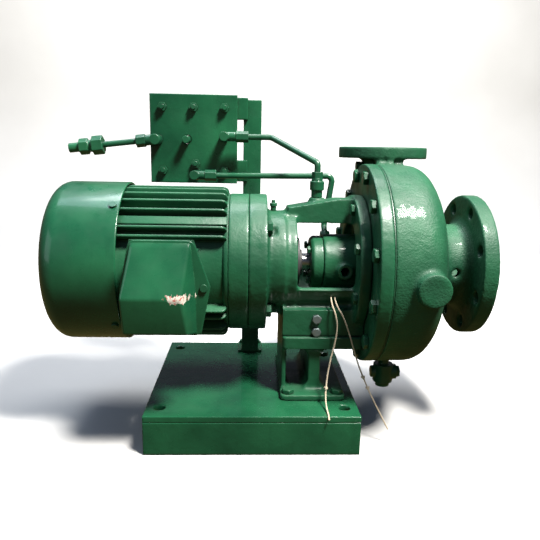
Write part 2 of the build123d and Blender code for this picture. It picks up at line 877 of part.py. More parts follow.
with BuildPart() as casing_cover:
    with BuildSketch(lengthwise):
        with BuildLine():
            Polyline(
                (gland_right, box_bore),
                (gland_right, box_radius),
                (cover_left, box_radius),
                (cover_left, casing_radius),
                (cover_right, casing_radius),
                (cover_right, spigot_radius),
                (casing_left + spigot_depth, spigot_radius),
                (casing_left + spigot_depth, cover_bore),
                (casing_left - cover_back_wall, cover_bore),
                (casing_left - cover_back_wall, box_bore),
                close=True,
            )
        make_face()
    revolve(axis=shaft_axis)
    with BuildSketch(across(cover_left)):
        with Locations(*casing_spots):
            Circle(casing_bolt_shank + clearance)
    extrude(amount=cover_flange, mode=Mode.SUBTRACT)
    with BuildSketch(across(cover_left)):
        with Locations(*frame_spots):
            Circle(frame_bolt_shank + clearance)
    extrude(amount=frame_bolt_depth + 2, mode=Mode.SUBTRACT)
    with BuildSketch(across(gland_right)):
        with Locations(*gland_spots):
            Circle(gland_bolt_shank + clearance)
    extrude(amount=gland_bolt_depth + 2, mode=Mode.SUBTRACT)
    # flush port boss on the near side of the seal chamber
    side_boss_face = shaft_y - box_radius - side_boss_rise
    with BuildSketch(facing_front(side_boss_face, side_port_x, side_port_z)):
        Circle(side_boss)
    extrude(amount=-2 * side_boss_rise)
    with BuildSketch(facing_front(side_boss_face, side_port_x, side_port_z)):
        Circle(side_port)
    extrude(amount=box_bore - box_radius - side_boss_rise - 2, mode=Mode.SUBTRACT)
save(casing_cover, "casing_cover")

with BuildPart() as casing_gasket:
    with BuildSketch(across(cover_right)):
        Circle(casing_radius - 1)
        Circle(spigot_radius + clearance, mode=Mode.SUBTRACT)
        with Locations(*casing_spots):
            Circle(casing_bolt_shank + clearance, mode=Mode.SUBTRACT)
    extrude(amount=gasket)
save(casing_gasket, "casing_gasket")

casing_bolts = hex_bolts(
    Plane(origin=(cover_left, shaft_y, shaft_z), x_dir=(0, -1, 0), z_dir=(-1, 0, 0)),
    [(-y, z) for y, z in casing_spots],
    casing_bolt_shank,
    cover_flange + gasket + casing_bolt_depth,
    casing_bolt_flats,
    casing_bolt_head,
)
save(casing_bolts, "casing_bolts")

frame_bolts = hex_bolts(
    Plane(origin=(frame_flange_left, shaft_y, shaft_z), x_dir=(0, -1, 0), z_dir=(-1, 0, 0)),
    [(-y, z) for y, z in frame_spots],
    frame_bolt_shank,
    frame_flange + frame_bolt_depth,
    frame_bolt_flats,
    frame_bolt_head,
)
with BuildPart() as adapter_bolts:
    add(c_face_bolts.part)
    add(frame_bolts.part)
save(adapter_bolts, "adapter_bolts")

seat_radius = 25.0
seat_depth = 9.0
with BuildPart() as seal_gland:
    with BuildSketch(lengthwise):
        with BuildLine():
            Polyline(
                (gland_left, shaft_radius + 2),
                (gland_left, gland_radius - 4),
                (gland_left + 4, gland_radius),
                (gland_right, gland_radius),
                (gland_right, seat_radius),
                (gland_right - seat_depth, seat_radius),
                (gland_right - seat_depth, shaft_radius + 2),
                close=True,
            )
        make_face()
    revolve(axis=shaft_axis)
    with BuildSketch(across(gland_left)):
        with Locations(*gland_spots):
            Circle(gland_bolt_shank + clearance)
    extrude(amount=gland_right - gland_left, mode=Mode.SUBTRACT)
save(seal_gland, "seal_gland")

gland_bolts = hex_bolts(
    Plane(origin=(gland_left, shaft_y, shaft_z), x_dir=(0, -1, 0), z_dir=(-1, 0, 0)),
    [(-y, z) for y, z in gland_spots],
    gland_bolt_shank,
    gland_right - gland_left + gland_bolt_depth,
    gland_bolt_flats,
    gland_bolt_head,
)
save(gland_bolts, "gland_bolts")

seal_seat = ring(gland_right - seat_depth, gland_right + 2, seat_radius, shaft_radius + 1)
save(seal_seat, "seal_seat")

seal_gap = 0.1
push_fit = 0.02
seal_left = gland_right + 2 + seal_gap
seal_nose = 21.0
seal_body = 24.0
seal_body_left = gland_right + 8
seal_body_right = gland_right + 22
seal_head = turned(
    [
        (seal_left, shaft_radius + push_fit),
        (seal_left, seal_nose),
        (seal_body_left, seal_nose),
        (seal_body_left, seal_body),
        (seal_body_right, seal_body),
        (seal_body_right, shaft_radius + push_fit),
    ]
)
save(seal_head, "seal_head")

spring_turns = 5
spring_wire = 1.5
spring_pitch = 4.6
spring_radius = 20.0
with BuildPart() as seal_spring:
    for turn in range(spring_turns):
        with BuildSketch(lengthwise):
            with Locations((seal_body_right + 2.5 + turn * spring_pitch, spring_radius)):
                Circle(spring_wire)
        revolve(axis=shaft_axis)
save(seal_spring, "seal_spring")

slinger_radius = 40.0
slinger_left = neck_end + 2
slinger = turned(
    [
        (slinger_left, shaft_radius + push_fit),
        (slinger_left, slinger_radius),
        (slinger_left + 5, slinger_radius),
        (slinger_left + 5, 22),
        (slinger_left + 10, 20),
        (slinger_left + 10, shaft_radius + push_fit),
    ]
)
save(slinger, "slinger")

# ---- casing with its volute and both flanges ----
volute_right = casing_right - casing_wall
impeller_right = impeller_left + impeller_width
eye_left = impeller_right + 14
discharge_y = shaft_y + discharge_offset
discharge_top = shaft_z + discharge_face
suction_spots = circle_spots(suction_bolt_circle, 8, 22.5)
discharge_spots = circle_spots(discharge_bolt_circle, 4, 45)
drain_x = 228.0
drain_boss = 4.0
dome_start = 46.0
boss_x = 250.0
boss_z = shaft_z - 6
boss_radius = 24.5
boss_rise = 12.0
boss_depth = 60.0
boss_face = shaft_y - casing_radius - boss_rise
drain_boss_radius = 14.0
drain_port = 6.5
volute_step = 22.0       # the chamber narrows by this towards the suction side
chamber_depth = 34.0
gauge_port_x = 317.0
gauge_port = 7.0

with BuildPart() as casing:
    with BuildSketch(lengthwise):
        with BuildLine():
            Polyline(
                (casing_left, 0),
                (casing_left, casing_radius),
                (casing_left + dome_start, casing_radius - 1),
            )
            Spline(
                (casing_left + dome_start, casing_radius - 1),
                (casing_right - 13, casing_radius - 24),
                (casing_right, suction_neck + 22),
                tangents=((1, -0.06), (0.1, -1)),
            )
            Polyline(
                (casing_right, suction_neck + 22),
                (casing_right + 6, suction_neck + 6),
                (casing_right + 18, suction_neck),
                (suction_face - suction_flange - 10, suction_neck),
                (suction_face - suction_flange, suction_neck + 10),
                (suction_face - suction_flange, suction_flange_radius),
                (suction_face, suction_flange_radius),
                (suction_face, 0),
                (casing_left, 0),
            )
        make_face()
    revolve(axis=shaft_axis)
    with BuildSketch(Plane(origin=(discharge_x, discharge_y, shaft_z))):
        Circle(discharge_neck)
    extrude(amount=discharge_face - 5)
    with BuildSketch(Plane(origin=(discharge_x, discharge_y, discharge_top - discharge_flange))):
        Circle(discharge_flange_radius)
    extrude(amount=discharge_flange)
    with BuildSketch(facing_front(boss_face, boss_x, boss_z)):
        Circle(boss_radius)
    extrude(amount=-boss_depth)
    with BuildSketch(Plane(origin=(drain_x, shaft_y, shaft_z - casing_radius - drain_boss))):
        Circle(drain_boss_radius)
    extrude(amount=drain_boss + casing_wall)
    # the neck is cut flat where the cover's flange seats
    with BuildSketch(across(casing_left)):
        Circle(casing_radius + 1)
    extrude(amount=-40, mode=Mode.SUBTRACT)
    # wet side: impeller chamber, volute, suction passage and discharge passage
    with BuildSketch(lengthwise):
        with BuildLine():
            Polyline(
                (casing_left, 0),
                (casing_left, spigot_radius + clearance),
                (casing_left + spigot_depth + chamber_depth, spigot_radius + clearance),
                (volute_right - 18, spigot_radius - volute_step),
                (volute_right - 18, 88),
                (impeller_right + 3, 84),
                (impeller_right + 3, eye_radius + 14),
                (eye_left, eye_radius + 14),
                (eye_left, suction_bore),
                (suction_face, suction_bore),
                (suction_face, 0),
                close=True,
            )
        make_face()
    revolve(axis=shaft_axis, mode=Mode.SUBTRACT)
    with BuildSketch(Plane(origin=(discharge_x, discharge_y, shaft_z))):
        Circle(discharge_bore)
    extrude(amount=discharge_face, mode=Mode.SUBTRACT)
    with BuildSketch(across(casing_left)):
        with Locations(*casing_spots):
            Circle(casing_bolt_shank + clearance)
    extrude(amount=20, mode=Mode.SUBTRACT)
    with BuildSketch(across(suction_face - suction_flange)):
        with Locations(*suction_spots):
            Circle(suction_bolt_hole / 2)
    extrude(amount=suction_flange, mode=Mode.SUBTRACT)
    with BuildSketch(Plane(origin=(discharge_x, discharge_y, discharge_top - discharge_flange))):
        with Locations(*discharge_spots):
            Circle(discharge_bolt_hole / 2)
    extrude(amount=discharge_flange, mode=Mode.SUBTRACT)
    with BuildSketch(facing_front(shaft_y - suction_neck - 8, gauge_port_x, shaft_z - 3)):
        Circle(gauge_port)
    extrude(amount=-25, mode=Mode.SUBTRACT)
    with BuildSketch(Plane(origin=(drain_x, shaft_y, shaft_z - casing_radius - drain_boss))):
        Circle(drain_port)
    extrude(amount=casing_radius / 2, mode=Mode.SUBTRACT)
save(casing, "casing")

wear_ring = ring(impeller_right + 4, eye_left - 0.5, eye_radius + 14, eye_radius + 4.3)
save(wear_ring, "wear_ring")

vane_count = 6
vane_width = 15.5
with BuildPart() as impeller:
    with BuildSketch(lengthwise):
        with BuildLine():
            Polyline(
                (impeller_left, impeller_seat),
                (impeller_left, impeller_radius),
                (impeller_left + 5, impeller_radius),
                (impeller_left + 10, 30),
                (impeller_hub_right, 20),
                (impeller_hub_right, impeller_seat),
                close=True,
            )
        make_face()
    revolve(axis=shaft_axis)
    with BuildSketch(lengthwise):
        with BuildLine():
            Polyline(
                (impeller_left + 18, impeller_radius),
                (impeller_left + 23, impeller_radius),
                (impeller_right, eye_radius + 14),
                (impeller_right, eye_radius + 4),
                (eye_left - 2, eye_radius + 4),
                (eye_left - 2, eye_radius),
                (impeller_right - 6, eye_radius),
                close=True,
            )
        make_face()
    revolve(axis=shaft_axis)
    with BuildSketch(across(impeller_left + 4)):
        for vane in range(vane_count):
            with BuildLine():
                start = vane * 360 / vane_count
                inner = PolarLine((0, 0), 40, start, mode=Mode.PRIVATE) @ 1
                middle = PolarLine((0, 0), 84, start + 26, mode=Mode.PRIVATE) @ 1
                outer = PolarLine((0, 0), impeller_radius - 1, start + 62, mode=Mode.PRIVATE) @ 1
                inner_back = PolarLine((0, 0), 40, start + 8, mode=Mode.PRIVATE) @ 1
                middle_back = PolarLine((0, 0), 84, start + 31, mode=Mode.PRIVATE) @ 1
                outer_back = PolarLine((0, 0), impeller_radius - 1, start + 65, mode=Mode.PRIVATE) @ 1
                ThreePointArc(inner, middle, outer)
                Line(outer, outer_back)
                ThreePointArc(outer_back, middle_back, inner_back)
                Line(inner_back, inner)
            make_face()
    extrude(amount=vane_width)
save(impeller, "impeller")

impeller_nut = stub(
    (impeller_hub_right, shaft_y, shaft_z), (1, 0, 0), 13, 13, bore=nut_thread, flats=True
)
save(impeller_nut, "impeller_nut")

# ---- small fittings on the casing ----
drain_top = shaft_z - casing_radius - drain_boss
drain_stem = 12.0
drain_stem_radius = 9.0
drain_body = 40.0
drain_body_radius = 17.0
drain_bore = 4.0
drain_arm = 13.0
drain_arm_length = 22.0
drain_back_arm = 10.0
drain_arm_drop = 15.0    # from the body's top to the arms' axis
drain_elbow_z = drain_top - drain_stem
drain_arm_z = drain_elbow_z - drain_arm_drop
with BuildPart() as drain_elbow:
    with BuildSketch(Plane(origin=(drain_x, shaft_y, drain_elbow_z - drain_body))):
        Circle(drain_body_radius - 5)
    extrude(amount=drain_body)
    with BuildSketch(Plane(origin=(drain_x, shaft_y, drain_elbow_z - drain_body + 8))):
        Circle(drain_body_radius)
    extrude(amount=drain_body - 8)
    with BuildSketch(Plane(origin=(drain_x, shaft_y, drain_elbow_z))):
        Circle(drain_stem_radius)
    extrude(amount=drain_stem)
    with BuildSketch(across(drain_x, shaft_y, drain_arm_z)):
        Circle(drain_arm)
    extrude(amount=drain_arm_length)
    with BuildSketch(across(drain_x, shaft_y, drain_arm_z)):
        Circle(drain_back_arm)
    extrude(amount=-drain_arm_length)
    with BuildSketch(Plane(origin=(drain_x, shaft_y, drain_arm_z))):
        Circle(drain_bore)
    extrude(amount=drain_arm_drop + drain_stem, mode=Mode.SUBTRACT)
save(drain_elbow, "drain_elbow")
drain_plug = stub(
    (drain_x + drain_arm_length, shaft_y, drain_arm_z), (1, 0, 0), 6, 9, flats=True
)

neck_plug = stub(
    (discharge_x - discharge_neck - 12, discharge_y, discharge_top - discharge_flange - 14),
    (1, 0, 0),
    12,
    7,
    flats=True,
)

with BuildPart() as vent_fitting:
    with BuildSketch(Plane(origin=(neck_end - 36, shaft_y, shaft_z + neck_radius))):
        Circle(4.5)
    extrude(amount=8)
    with BuildSketch(Plane(origin=(neck_end - 36, shaft_y, shaft_z + neck_radius + 7))):
        Circle(6)
    extrude(amount=5)
    with BuildSketch(Plane(origin=(neck_end - 36, shaft_y, shaft_z + neck_radius + 12))):
        Circle(3)
    extrude(amount=5)
save(vent_fitting, "vent_fitting")

# ---- panel on its post ----
with BuildPart() as panel_post:
    with BuildSketch(Plane.XY.offset(base_top)):
        with Locations((post_middle, post_y + post_thickness / 2)):
            Rectangle(post_width, post_thickness)
        with Locations((post_x + post_thickness / 2, post_y + post_width / 2)):
            Rectangle(post_thickness, post_width)
    extrude(amount=post_top - base_top)
    with BuildSketch(Plane.XY.offset(base_top)):
        with Locations((post_middle, post_y + post_foot_length / 2 - 5)):
            Rectangle(post_width + 14, post_foot_length - 10)
        with Locations(*post_bolt_spots):
            Circle(post_bolt_shank + clearance, mode=Mode.SUBTRACT)
    extrude(amount=post_foot_plate)
save(panel_post, "panel_post")

panel_middle_x = panel_left + panel_size / 2
panel_middle_z = panel_bottom + panel_size / 2
stud_dx = 54.0
stud_dz = 54.0
stud_radius = 4.0
stud_spots = [(sx * stud_dx, stud_dz) for sx in (-1, 0, 1)]
stud_spots += [(-stud_dx, -stud_dz), (3, -stud_dz + 12), (stud_dx, -stud_dz)]

bar_left = panel_left + bar_inset
bar_right = post_x + bar_lap
with BuildPart() as panel_bars:
    for side in (1, -1):
        bar_z = panel_middle_z + side * stud_dz
        with BuildSketch(facing_front(post_y, 0, bar_z)):
            with Locations(((bar_left + bar_right) / 2, 0)):
                Rectangle(bar_right - bar_left, bar_height)
        extrude(amount=bar_thickness)
    with BuildSketch(facing_front(post_y, panel_middle_x, panel_middle_z)):
        with Locations(*stud_spots):
            Circle(stud_radius + clearance)
    extrude(amount=bar_thickness, mode=Mode.SUBTRACT)
save(panel_bars, "panel_bars")

port_spots = [(-63, -2), (-12, -1), (54, 5), (3, -61)]
left_port, centre_port, upper_port, lower_port = port_spots
port_radius = 7.0
with BuildPart() as panel_plate:
    with BuildSketch(facing_front(panel_front + panel_thickness, panel_middle_x, panel_middle_z)):
        Rectangle(panel_size, panel_size)
        with Locations(*stud_spots):
            Circle(stud_radius + clearance, mode=Mode.SUBTRACT)
        with Locations(*port_spots):
            Circle(port_radius + clearance, mode=Mode.SUBTRACT)
    extrude(amount=panel_thickness)
save(panel_plate, "panel_plate")

# studs through the plate and the bars, each with its nut
with BuildPart() as panel_studs_and_nuts:
    with BuildSketch(facing_front(post_y + 6, panel_middle_x, panel_middle_z)):
        with Locations(*stud_spots):
            Circle(stud_radius)
    extrude(amount=post_y + 6 - panel_front + 12)
    with BuildSketch(facing_front(panel_front, panel_middle_x, panel_middle_z)):
        with Locations(*stud_spots):
            RegularPolygon(7, 6, major_radius=False)
            Circle(stud_radius + 0.02, mode=Mode.SUBTRACT)
    extrude(amount=7)
save(panel_studs_and_nuts, "panel_studs_and_nuts")


def panel_fitting(name, spot, reach, radius, towards, arm, bore):
    """An elbow through the panel: a stem out of it, then an arm towards a side."""
    x = panel_middle_x + spot[0]
    z = panel_middle_z + spot[1]
    with BuildPart() as piece:
        with BuildSketch(facing_front(panel_front + panel_thickness, x, z)):
            Circle(port_radius)
        extrude(amount=panel_thickness + 1)
        with BuildSketch(facing_front(panel_front - 0.02, x, z)):
            Circle(radius)
        extrude(amount=reach + radius)
        if arm:
            start = (x, panel_front - reach, z)
            with BuildSketch(Plane(origin=start, z_dir=towards)):
                Circle(radius)
            extrude(amount=arm)
            with BuildSketch(Plane(origin=start, z_dir=towards)):
                Circle(bore)
            extrude(amount=arm, mode=Mode.SUBTRACT)
        else:
            with BuildSketch(facing_front(panel_front - reach - radius, x, z)):
                Circle(bore)
            extrude(amount=-reach, mode=Mode.SUBTRACT)
    save(piece, name)
    return (x, panel_front - reach, z)


stem = panel_front - line_y
slope_left = (-0.993, 0, -0.118)
left_start = panel_fitting("left_port_elbow", left_port, stem, 9, slope_left, 16, 3)
panel_fitting("centre_port_nipple", centre_port, 16, 6.5, None, 0, 4)
upper_start = panel_fitting("upper_port_elbow", upper_port, stem, 8, (1, 0, 0), 20, 3)
lower_start = panel_fitting("lower_port_elbow", lower_port, stem, 8, (1, 0, 0), 18, 3)


def shifted(start, direction, distance):
    return tuple(Vector(*start) + Vector(*direction).normalized() * distance)


# left branch: nut, tube, union and end plug
left_nut_start = shifted(left_start, slope_left, 16)
left_nut = stub(left_nut_start, slope_left, 16, 9.5, bore=tube_radius, flats=True)
left_tube_start = shifted(left_nut_start, slope_left, 2)
left_tube = stub(left_tube_start, slope_left, 70, tube_radius - 0.02, bore=3.5)
save(left_tube, "left_tube")
left_union_start = shifted(left_tube_start, slope_left, 70)
with BuildPart() as left_union:
    with BuildSketch(Plane(origin=left_union_start, z_dir=slope_left)):
        RegularPolygon(14, 6, major_radius=False)
    extrude(amount=18)
    with BuildSketch(Plane(origin=shifted(left_union_start, slope_left, 18), z_dir=slope_left)):
        Circle(10)
    extrude(amount=7)
    with BuildSketch(Plane(origin=shifted(left_union_start, slope_left, 25), z_dir=slope_left)):
        RegularPolygon(12, 6, major_radius=False)
    extrude(amount=15)
    with BuildSketch(Plane(origin=left_union_start, z_dir=slope_left)):
        Circle(3.5)
    extrude(amount=39, mode=Mode.SUBTRACT)
save(left_union, "left_union")
left_plug = stub(shifted(left_union_start, slope_left, 40), slope_left, 18, 8)
with BuildPart() as pipe_plugs:
    add(left_plug.part)
    add(drain_plug.part)
    add(neck_plug.part)
save(pipe_plugs, "pipe_plugs")

# upper branch: to a port in the top of the adapter's arm
upper_nut_start = shifted(upper_start, (1, 0, 0), 20)
upper_nut = stub(upper_nut_start, (1, 0, 0), 22, 8.5, bore=tube_radius, flats=True)
arm_port_z = shaft_z + arm_boss_height
arm_elbow_height = 30.0
arm_hex_height = 11.0
arm_top_point = (arm_port_x, shaft_y, arm_port_z + arm_elbow_height + arm_hex_height)
upper_bend = (upper_start[0] + 81, line_y, upper_start[2])
upper_above = (arm_port_x, shaft_y, arm_top_point[2] + 14)
upper_tube = tube(
    [shifted(upper_nut_start, (1, 0, 0), 2), upper_bend, upper_above, arm_top_point],
    8,
    tube_radius - 0.02,
    3.5,
)
save(upper_tube, "upper_tube")
with BuildPart() as arm_elbow:
    with BuildSketch(Plane(origin=(arm_port_x, shaft_y, arm_port_z))):
        Circle(9)
    extrude(amount=arm_elbow_height)
    with BuildSketch(Plane(origin=(arm_port_x, shaft_y, arm_port_z + 12))):
        Circle(11.5)
    extrude(amount=arm_elbow_height - 16)
    with BuildSketch(Plane(origin=(arm_port_x, shaft_y, arm_port_z + arm_elbow_height))):
        RegularPolygon(8, 6, major_radius=False)
    extrude(amount=arm_hex_height)
save(arm_elbow, "arm_elbow")

# lower branch: over the arm and down to the gland
lower_nut_start = shifted(lower_start, (1, 0, 0), 18)
lower_nut = stub(lower_nut_start, (1, 0, 0), 20, 8.5, bore=tube_radius, flats=True)
gland_port_angle = math.radians(45)
gland_port_x = 122.0
gland_port = (
    gland_port_x,
    shaft_y + box_radius * math.sin(gland_port_angle),
    shaft_z + box_radius * math.cos(gland_port_angle),
)
gland_stub_length = 14.0
gland_outward = (0, math.sin(gland_port_angle), math.cos(gland_port_angle))
gland_stub_end = shifted(gland_port, gland_outward, gland_stub_length)
lower_down = shifted(gland_stub_end, gland_outward, 16)
lower_corner = (134.0, lower_down[1], lower_start[2] + 3)
lower_tube = tube(
    [
        shifted(lower_nut_start, (1, 0, 0), 2),
        shifted(lower_nut_start, (1, 0, 0), 40),
        lower_corner,
        lower_down,
        gland_stub_end,
    ],
    9,
    tube_radius - 0.02,
    3.5,
)
save(lower_tube, "lower_tube")
gland_connector = stub(gland_port, gland_outward, gland_stub_length, 8, flats=True)
save(gland_connector, "gland_connector")

with BuildPart() as tube_nuts:
    add(left_nut.part)
    add(upper_nut.part)
    add(lower_nut.part)
save(tube_nuts, "tube_nuts")

# ---- two thin tie strings that hang from the trough's side ----
string_radius = 1.3
front_string_route = [
    (121, -79.852, 223.601),
    (121, -91.725, 216.182),
    (126, -99, 203),
    (130, -102, 186),
    (128, -103, 162),
    (121, -106, 134),
    (115, -113, 104),
    (112, -124, 80),
    (112, -142, 66),
    (113, -158, 65),
    (113, -168, 60),
]
side_string_route = [
    (127, -79.852, 223.601),
    (127, -91.725, 216.182),
    (138, -98, 199),
    (147, -101, 177),
    (155, -104, 151),
    (163, -108, 125),
    (174, -113, 98),
    (187, -118, 71),
    (200, -122, 46),
    (212, -127, 24),
]


def hanging_string(name, points):
    """A string of straight runs and arcs, each as large as its runs allow."""
    radii = []
    for before, corner, after in zip(points, points[1:], points[2:]):
        first = Vector(*corner) - Vector(*before)
        second = Vector(*after) - Vector(*corner)
        turn = math.radians(first.get_angle(second))
        radii.append(0.45 * min(first.length, second.length) / math.tan(turn / 2))
    with BuildPart() as piece:
        with BuildLine() as route:
            FilletPolyline(*points, radius=radii)
        with BuildSketch(Plane(origin=route.line @ 0, z_dir=route.line % 0)):
            Circle(string_radius)
        sweep(path=route.line)
    run = sum(edge.length for edge in route.edges())
    expected = math.pi * string_radius**2 * run
    print(name, "length", round(run, 1), "smallest radius", round(min(radii), 1))
    print(name, "volume", round(piece.part.volume, 1), "section x length", round(expected, 1))
    save(piece, name)


hanging_string("front_tie_string", front_string_route)
hanging_string("side_tie_string", side_string_route)
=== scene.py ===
# %% [markdown]
# # A centrifugal water pump, finished in Blender
# The pump's design arrives as a fixed frame: separate pieces at their real size, in metres.
# This notebook gives the pieces their looks. It never moves a piece of the design.
# Where a plain solid is too sharp or too simple, a new mesh takes its place.

# %% Load the frame
import json
import math

import bmesh
import bpy
from mathutils import Matrix, Vector


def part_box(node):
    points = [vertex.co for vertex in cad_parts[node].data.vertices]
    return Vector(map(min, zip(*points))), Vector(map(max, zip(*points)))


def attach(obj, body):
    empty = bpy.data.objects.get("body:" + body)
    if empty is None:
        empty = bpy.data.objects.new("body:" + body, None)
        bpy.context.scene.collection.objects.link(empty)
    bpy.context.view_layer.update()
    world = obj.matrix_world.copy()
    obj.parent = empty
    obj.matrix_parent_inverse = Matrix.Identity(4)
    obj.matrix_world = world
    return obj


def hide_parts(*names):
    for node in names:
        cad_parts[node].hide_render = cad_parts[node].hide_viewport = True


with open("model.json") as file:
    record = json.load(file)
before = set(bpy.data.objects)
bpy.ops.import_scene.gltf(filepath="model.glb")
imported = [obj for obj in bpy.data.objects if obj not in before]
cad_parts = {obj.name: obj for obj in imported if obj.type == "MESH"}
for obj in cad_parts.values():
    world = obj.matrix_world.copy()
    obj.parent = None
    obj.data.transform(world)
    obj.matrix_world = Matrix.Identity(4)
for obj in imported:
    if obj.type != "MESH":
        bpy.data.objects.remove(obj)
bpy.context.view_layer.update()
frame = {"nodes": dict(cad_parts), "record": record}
nodes = frame["nodes"]
mounts = {mount["name"]: mount for mount in frame["record"]["mounts"]}
shaft_y = mounts["suction_flange"]["pos_m"][1]
shaft_z = mounts["suction_flange"]["pos_m"][2]
mm = 0.001

# %% [markdown]
# ## The camera
# A pump is usually shown from its working side, a little from above. The camera stands about
# 0.9 m away at the height of the panel and looks down by 12 degrees, with a slight turn and roll.
# A wide lens this near makes the near flange edges look large, as they do to someone beside it.

# %% Camera
camera_data = bpy.data.cameras.new("camera")
camera_data.lens = 37.07
camera_data.sensor_width = 36.0
camera = bpy.data.objects.new("camera", camera_data)
bpy.context.scene.collection.objects.link(camera)
look_down, turn_right, roll = math.radians(12.1), math.radians(2.27), math.radians(1.11)
camera.matrix_world = (
    Matrix.Translation((-0.0084, -0.9178, 0.4458))
    @ Matrix.Rotation(-turn_right, 4, "Z")
    @ Matrix.Rotation(math.pi / 2 - look_down, 4, "X")
    @ Matrix.Rotation(roll, 4, "Z")
)
bpy.context.scene.camera = camera
print("camera at", [round(part, 3) for part in camera.location])

# %% [markdown]
# ## Small helpers for meshes
# Every finished piece is one plain mesh whose object stays at the origin. `link` puts an object
# in the scene, `written` makes one from a bmesh, and `settle` applies whatever modifiers it has
# and takes them off.

# %% Mesh helpers
def link(name, mesh):
    made = bpy.data.objects.new(name, mesh)
    bpy.context.scene.collection.objects.link(made)
    return made


def written(work, name):
    """Writes a bmesh into a new object and frees it."""
    mesh = bpy.data.meshes.new(name)
    work.to_mesh(mesh)
    work.free()
    return link(name, mesh)


def bridge(work, ring, following):
    """Joins two closed rings of vertices with a band of four-sided faces."""
    for step in range(len(ring)):
        after = (step + 1) % len(ring)
        work.faces.new((ring[step], ring[after], following[after], following[step]))


def settle(piece):
    """Applies a piece's modifiers, so that a plain mesh is left."""
    bpy.context.view_layer.update()
    graph = bpy.context.evaluated_depsgraph_get()
    mesh = bpy.data.meshes.new_from_object(piece.evaluated_get(graph))
    piece.modifiers.clear()
    piece.data = mesh
    return piece


def smooth(piece, angle=35):
    """Smooth shading that keeps edges sharper than the angle."""
    piece.data.shade_smooth()
    piece.data.set_sharp_from_angle(angle=math.radians(angle))
    return piece


def round_edges(piece, width, segments, sharper_than):
    """Rounds the edges that are sharper than an angle in degrees."""
    rounding = piece.modifiers.new("rounding", "BEVEL")
    rounding.width = width
    rounding.segments = segments
    rounding.limit_method = "ANGLE"
    rounding.angle_limit = math.radians(sharper_than)
    return settle(piece)


def joined_up(node):
    """A bmesh of a design node with its loose triangles joined."""
    work = bmesh.new()
    work.from_mesh(nodes[node].data)
    bmesh.ops.remove_doubles(work, verts=work.verts, dist=0.01 * mm)
    return work


def merged_copy(node, name):
    """A copy of a design mesh, without its material."""
    piece = written(joined_up(node), name)
    piece.data.materials.clear()
    return piece


def merge_pieces(name, pieces):
    """Several meshes as one mesh, without their materials."""
    work = bmesh.new()
    for piece in pieces:
        work.from_mesh(piece.data)
        bpy.data.objects.remove(piece)
    return written(work, name)


def fit(piece, body, slot, material, *replaced):
    """Finishes a piece: its material, the body that it rides on and the nodes it stands for."""
    piece.data.materials.clear()
    piece.data.materials.append(material)
    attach(piece, body)
    if replaced:
        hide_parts(*replaced)
    print(piece.name, len(piece.data.polygons), "faces")
    return piece

# %% [markdown]
# ## Small helpers for materials
# A procedural material is a graph of nodes. `put` adds a node and sets its inputs, `join` links
# two sockets. All patterns read Object coordinates, so that they stick to the piece.

# %% Material helpers
def put(tree, kind, values=None, **settings):
    made = tree.nodes.new(kind)
    for key, value in settings.items():
        setattr(made, key, value)
    for key, value in (values or {}).items():
        made.inputs[key].default_value = value
    return made


def join(tree, source, target):
    tree.links.new(source, target)


def new_finish(name):
    material = bpy.data.materials.new(name)
    material.use_nodes = True
    tree = material.node_tree
    at = put(tree, "ShaderNodeTexCoord").outputs["Object"]
    return material, tree, tree.nodes["Principled BSDF"], at


def mottle(tree, at, scale, detail=4.0, stretch=None):
    """Noise over the piece, from 0 to 1, drawn out along an axis by stretch."""
    if stretch:
        mapping = put(tree, "ShaderNodeMapping", {"Scale": stretch})
        join(tree, at, mapping.inputs["Vector"])
        at = mapping.outputs["Vector"]
    made = put(tree, "ShaderNodeTexNoise", {"Scale": scale, "Detail": detail})
    join(tree, at, made.inputs["Vector"])
    return made.outputs["Fac"]


def band(tree, value, low, high, to_low=0.0, to_high=1.0):
    """Maps a value's range onto another one, clamped."""
    made = put(
        tree,
        "ShaderNodeMapRange",
        {"From Min": low, "From Max": high, "To Min": to_low, "To Max": to_high},
    )
    join(tree, value, made.inputs["Value"])
    return made.outputs["Result"]


def times(tree, one, other, operation="MULTIPLY"):
    made = put(tree, "ShaderNodeMath", operation=operation)
    for socket, value in zip(made.inputs, (one, other)):
        if isinstance(value, float):
            socket.default_value = value
        else:
            join(tree, value, socket)
    return made.outputs["Value"]


def blend_colour(tree, share, under, over):
    """One colour over another, by a share from 0 to 1."""
    made = put(tree, "ShaderNodeMix", data_type="RGBA")
    join(tree, share, made.inputs["Factor"])
    for socket, colour in ((made.inputs[6], under), (made.inputs[7], over)):
        if isinstance(colour, tuple):
            socket.default_value = (*colour, 1.0)
        else:
            join(tree, colour, socket)
    return made.outputs[2]


def relief(tree, height, depth, normal=None):
    """A bump from a height value, depth metres deep, on top of another normal."""
    made = put(tree, "ShaderNodeBump", {"Strength": 1.0, "Distance": depth})
    join(tree, height, made.inputs["Height"])
    if normal:
        join(tree, normal, made.inputs["Normal"])
    return made.outputs["Normal"]


def edge_share(tree, radius):
    """Returns a rounded normal and how near each point is to an edge, from 0 to 1."""
    rounded = put(tree, "ShaderNodeBevel", {"Radius": radius}, samples=4)
    flat = put(tree, "ShaderNodeNewGeometry")
    compare = put(tree, "ShaderNodeVectorMath", operation="DOT_PRODUCT")
    join(tree, rounded.outputs["Normal"], compare.inputs[0])
    join(tree, flat.outputs["Normal"], compare.inputs[1])
    return rounded.outputs["Normal"], band(tree, compare.outputs["Value"], 0.99, 0.80)
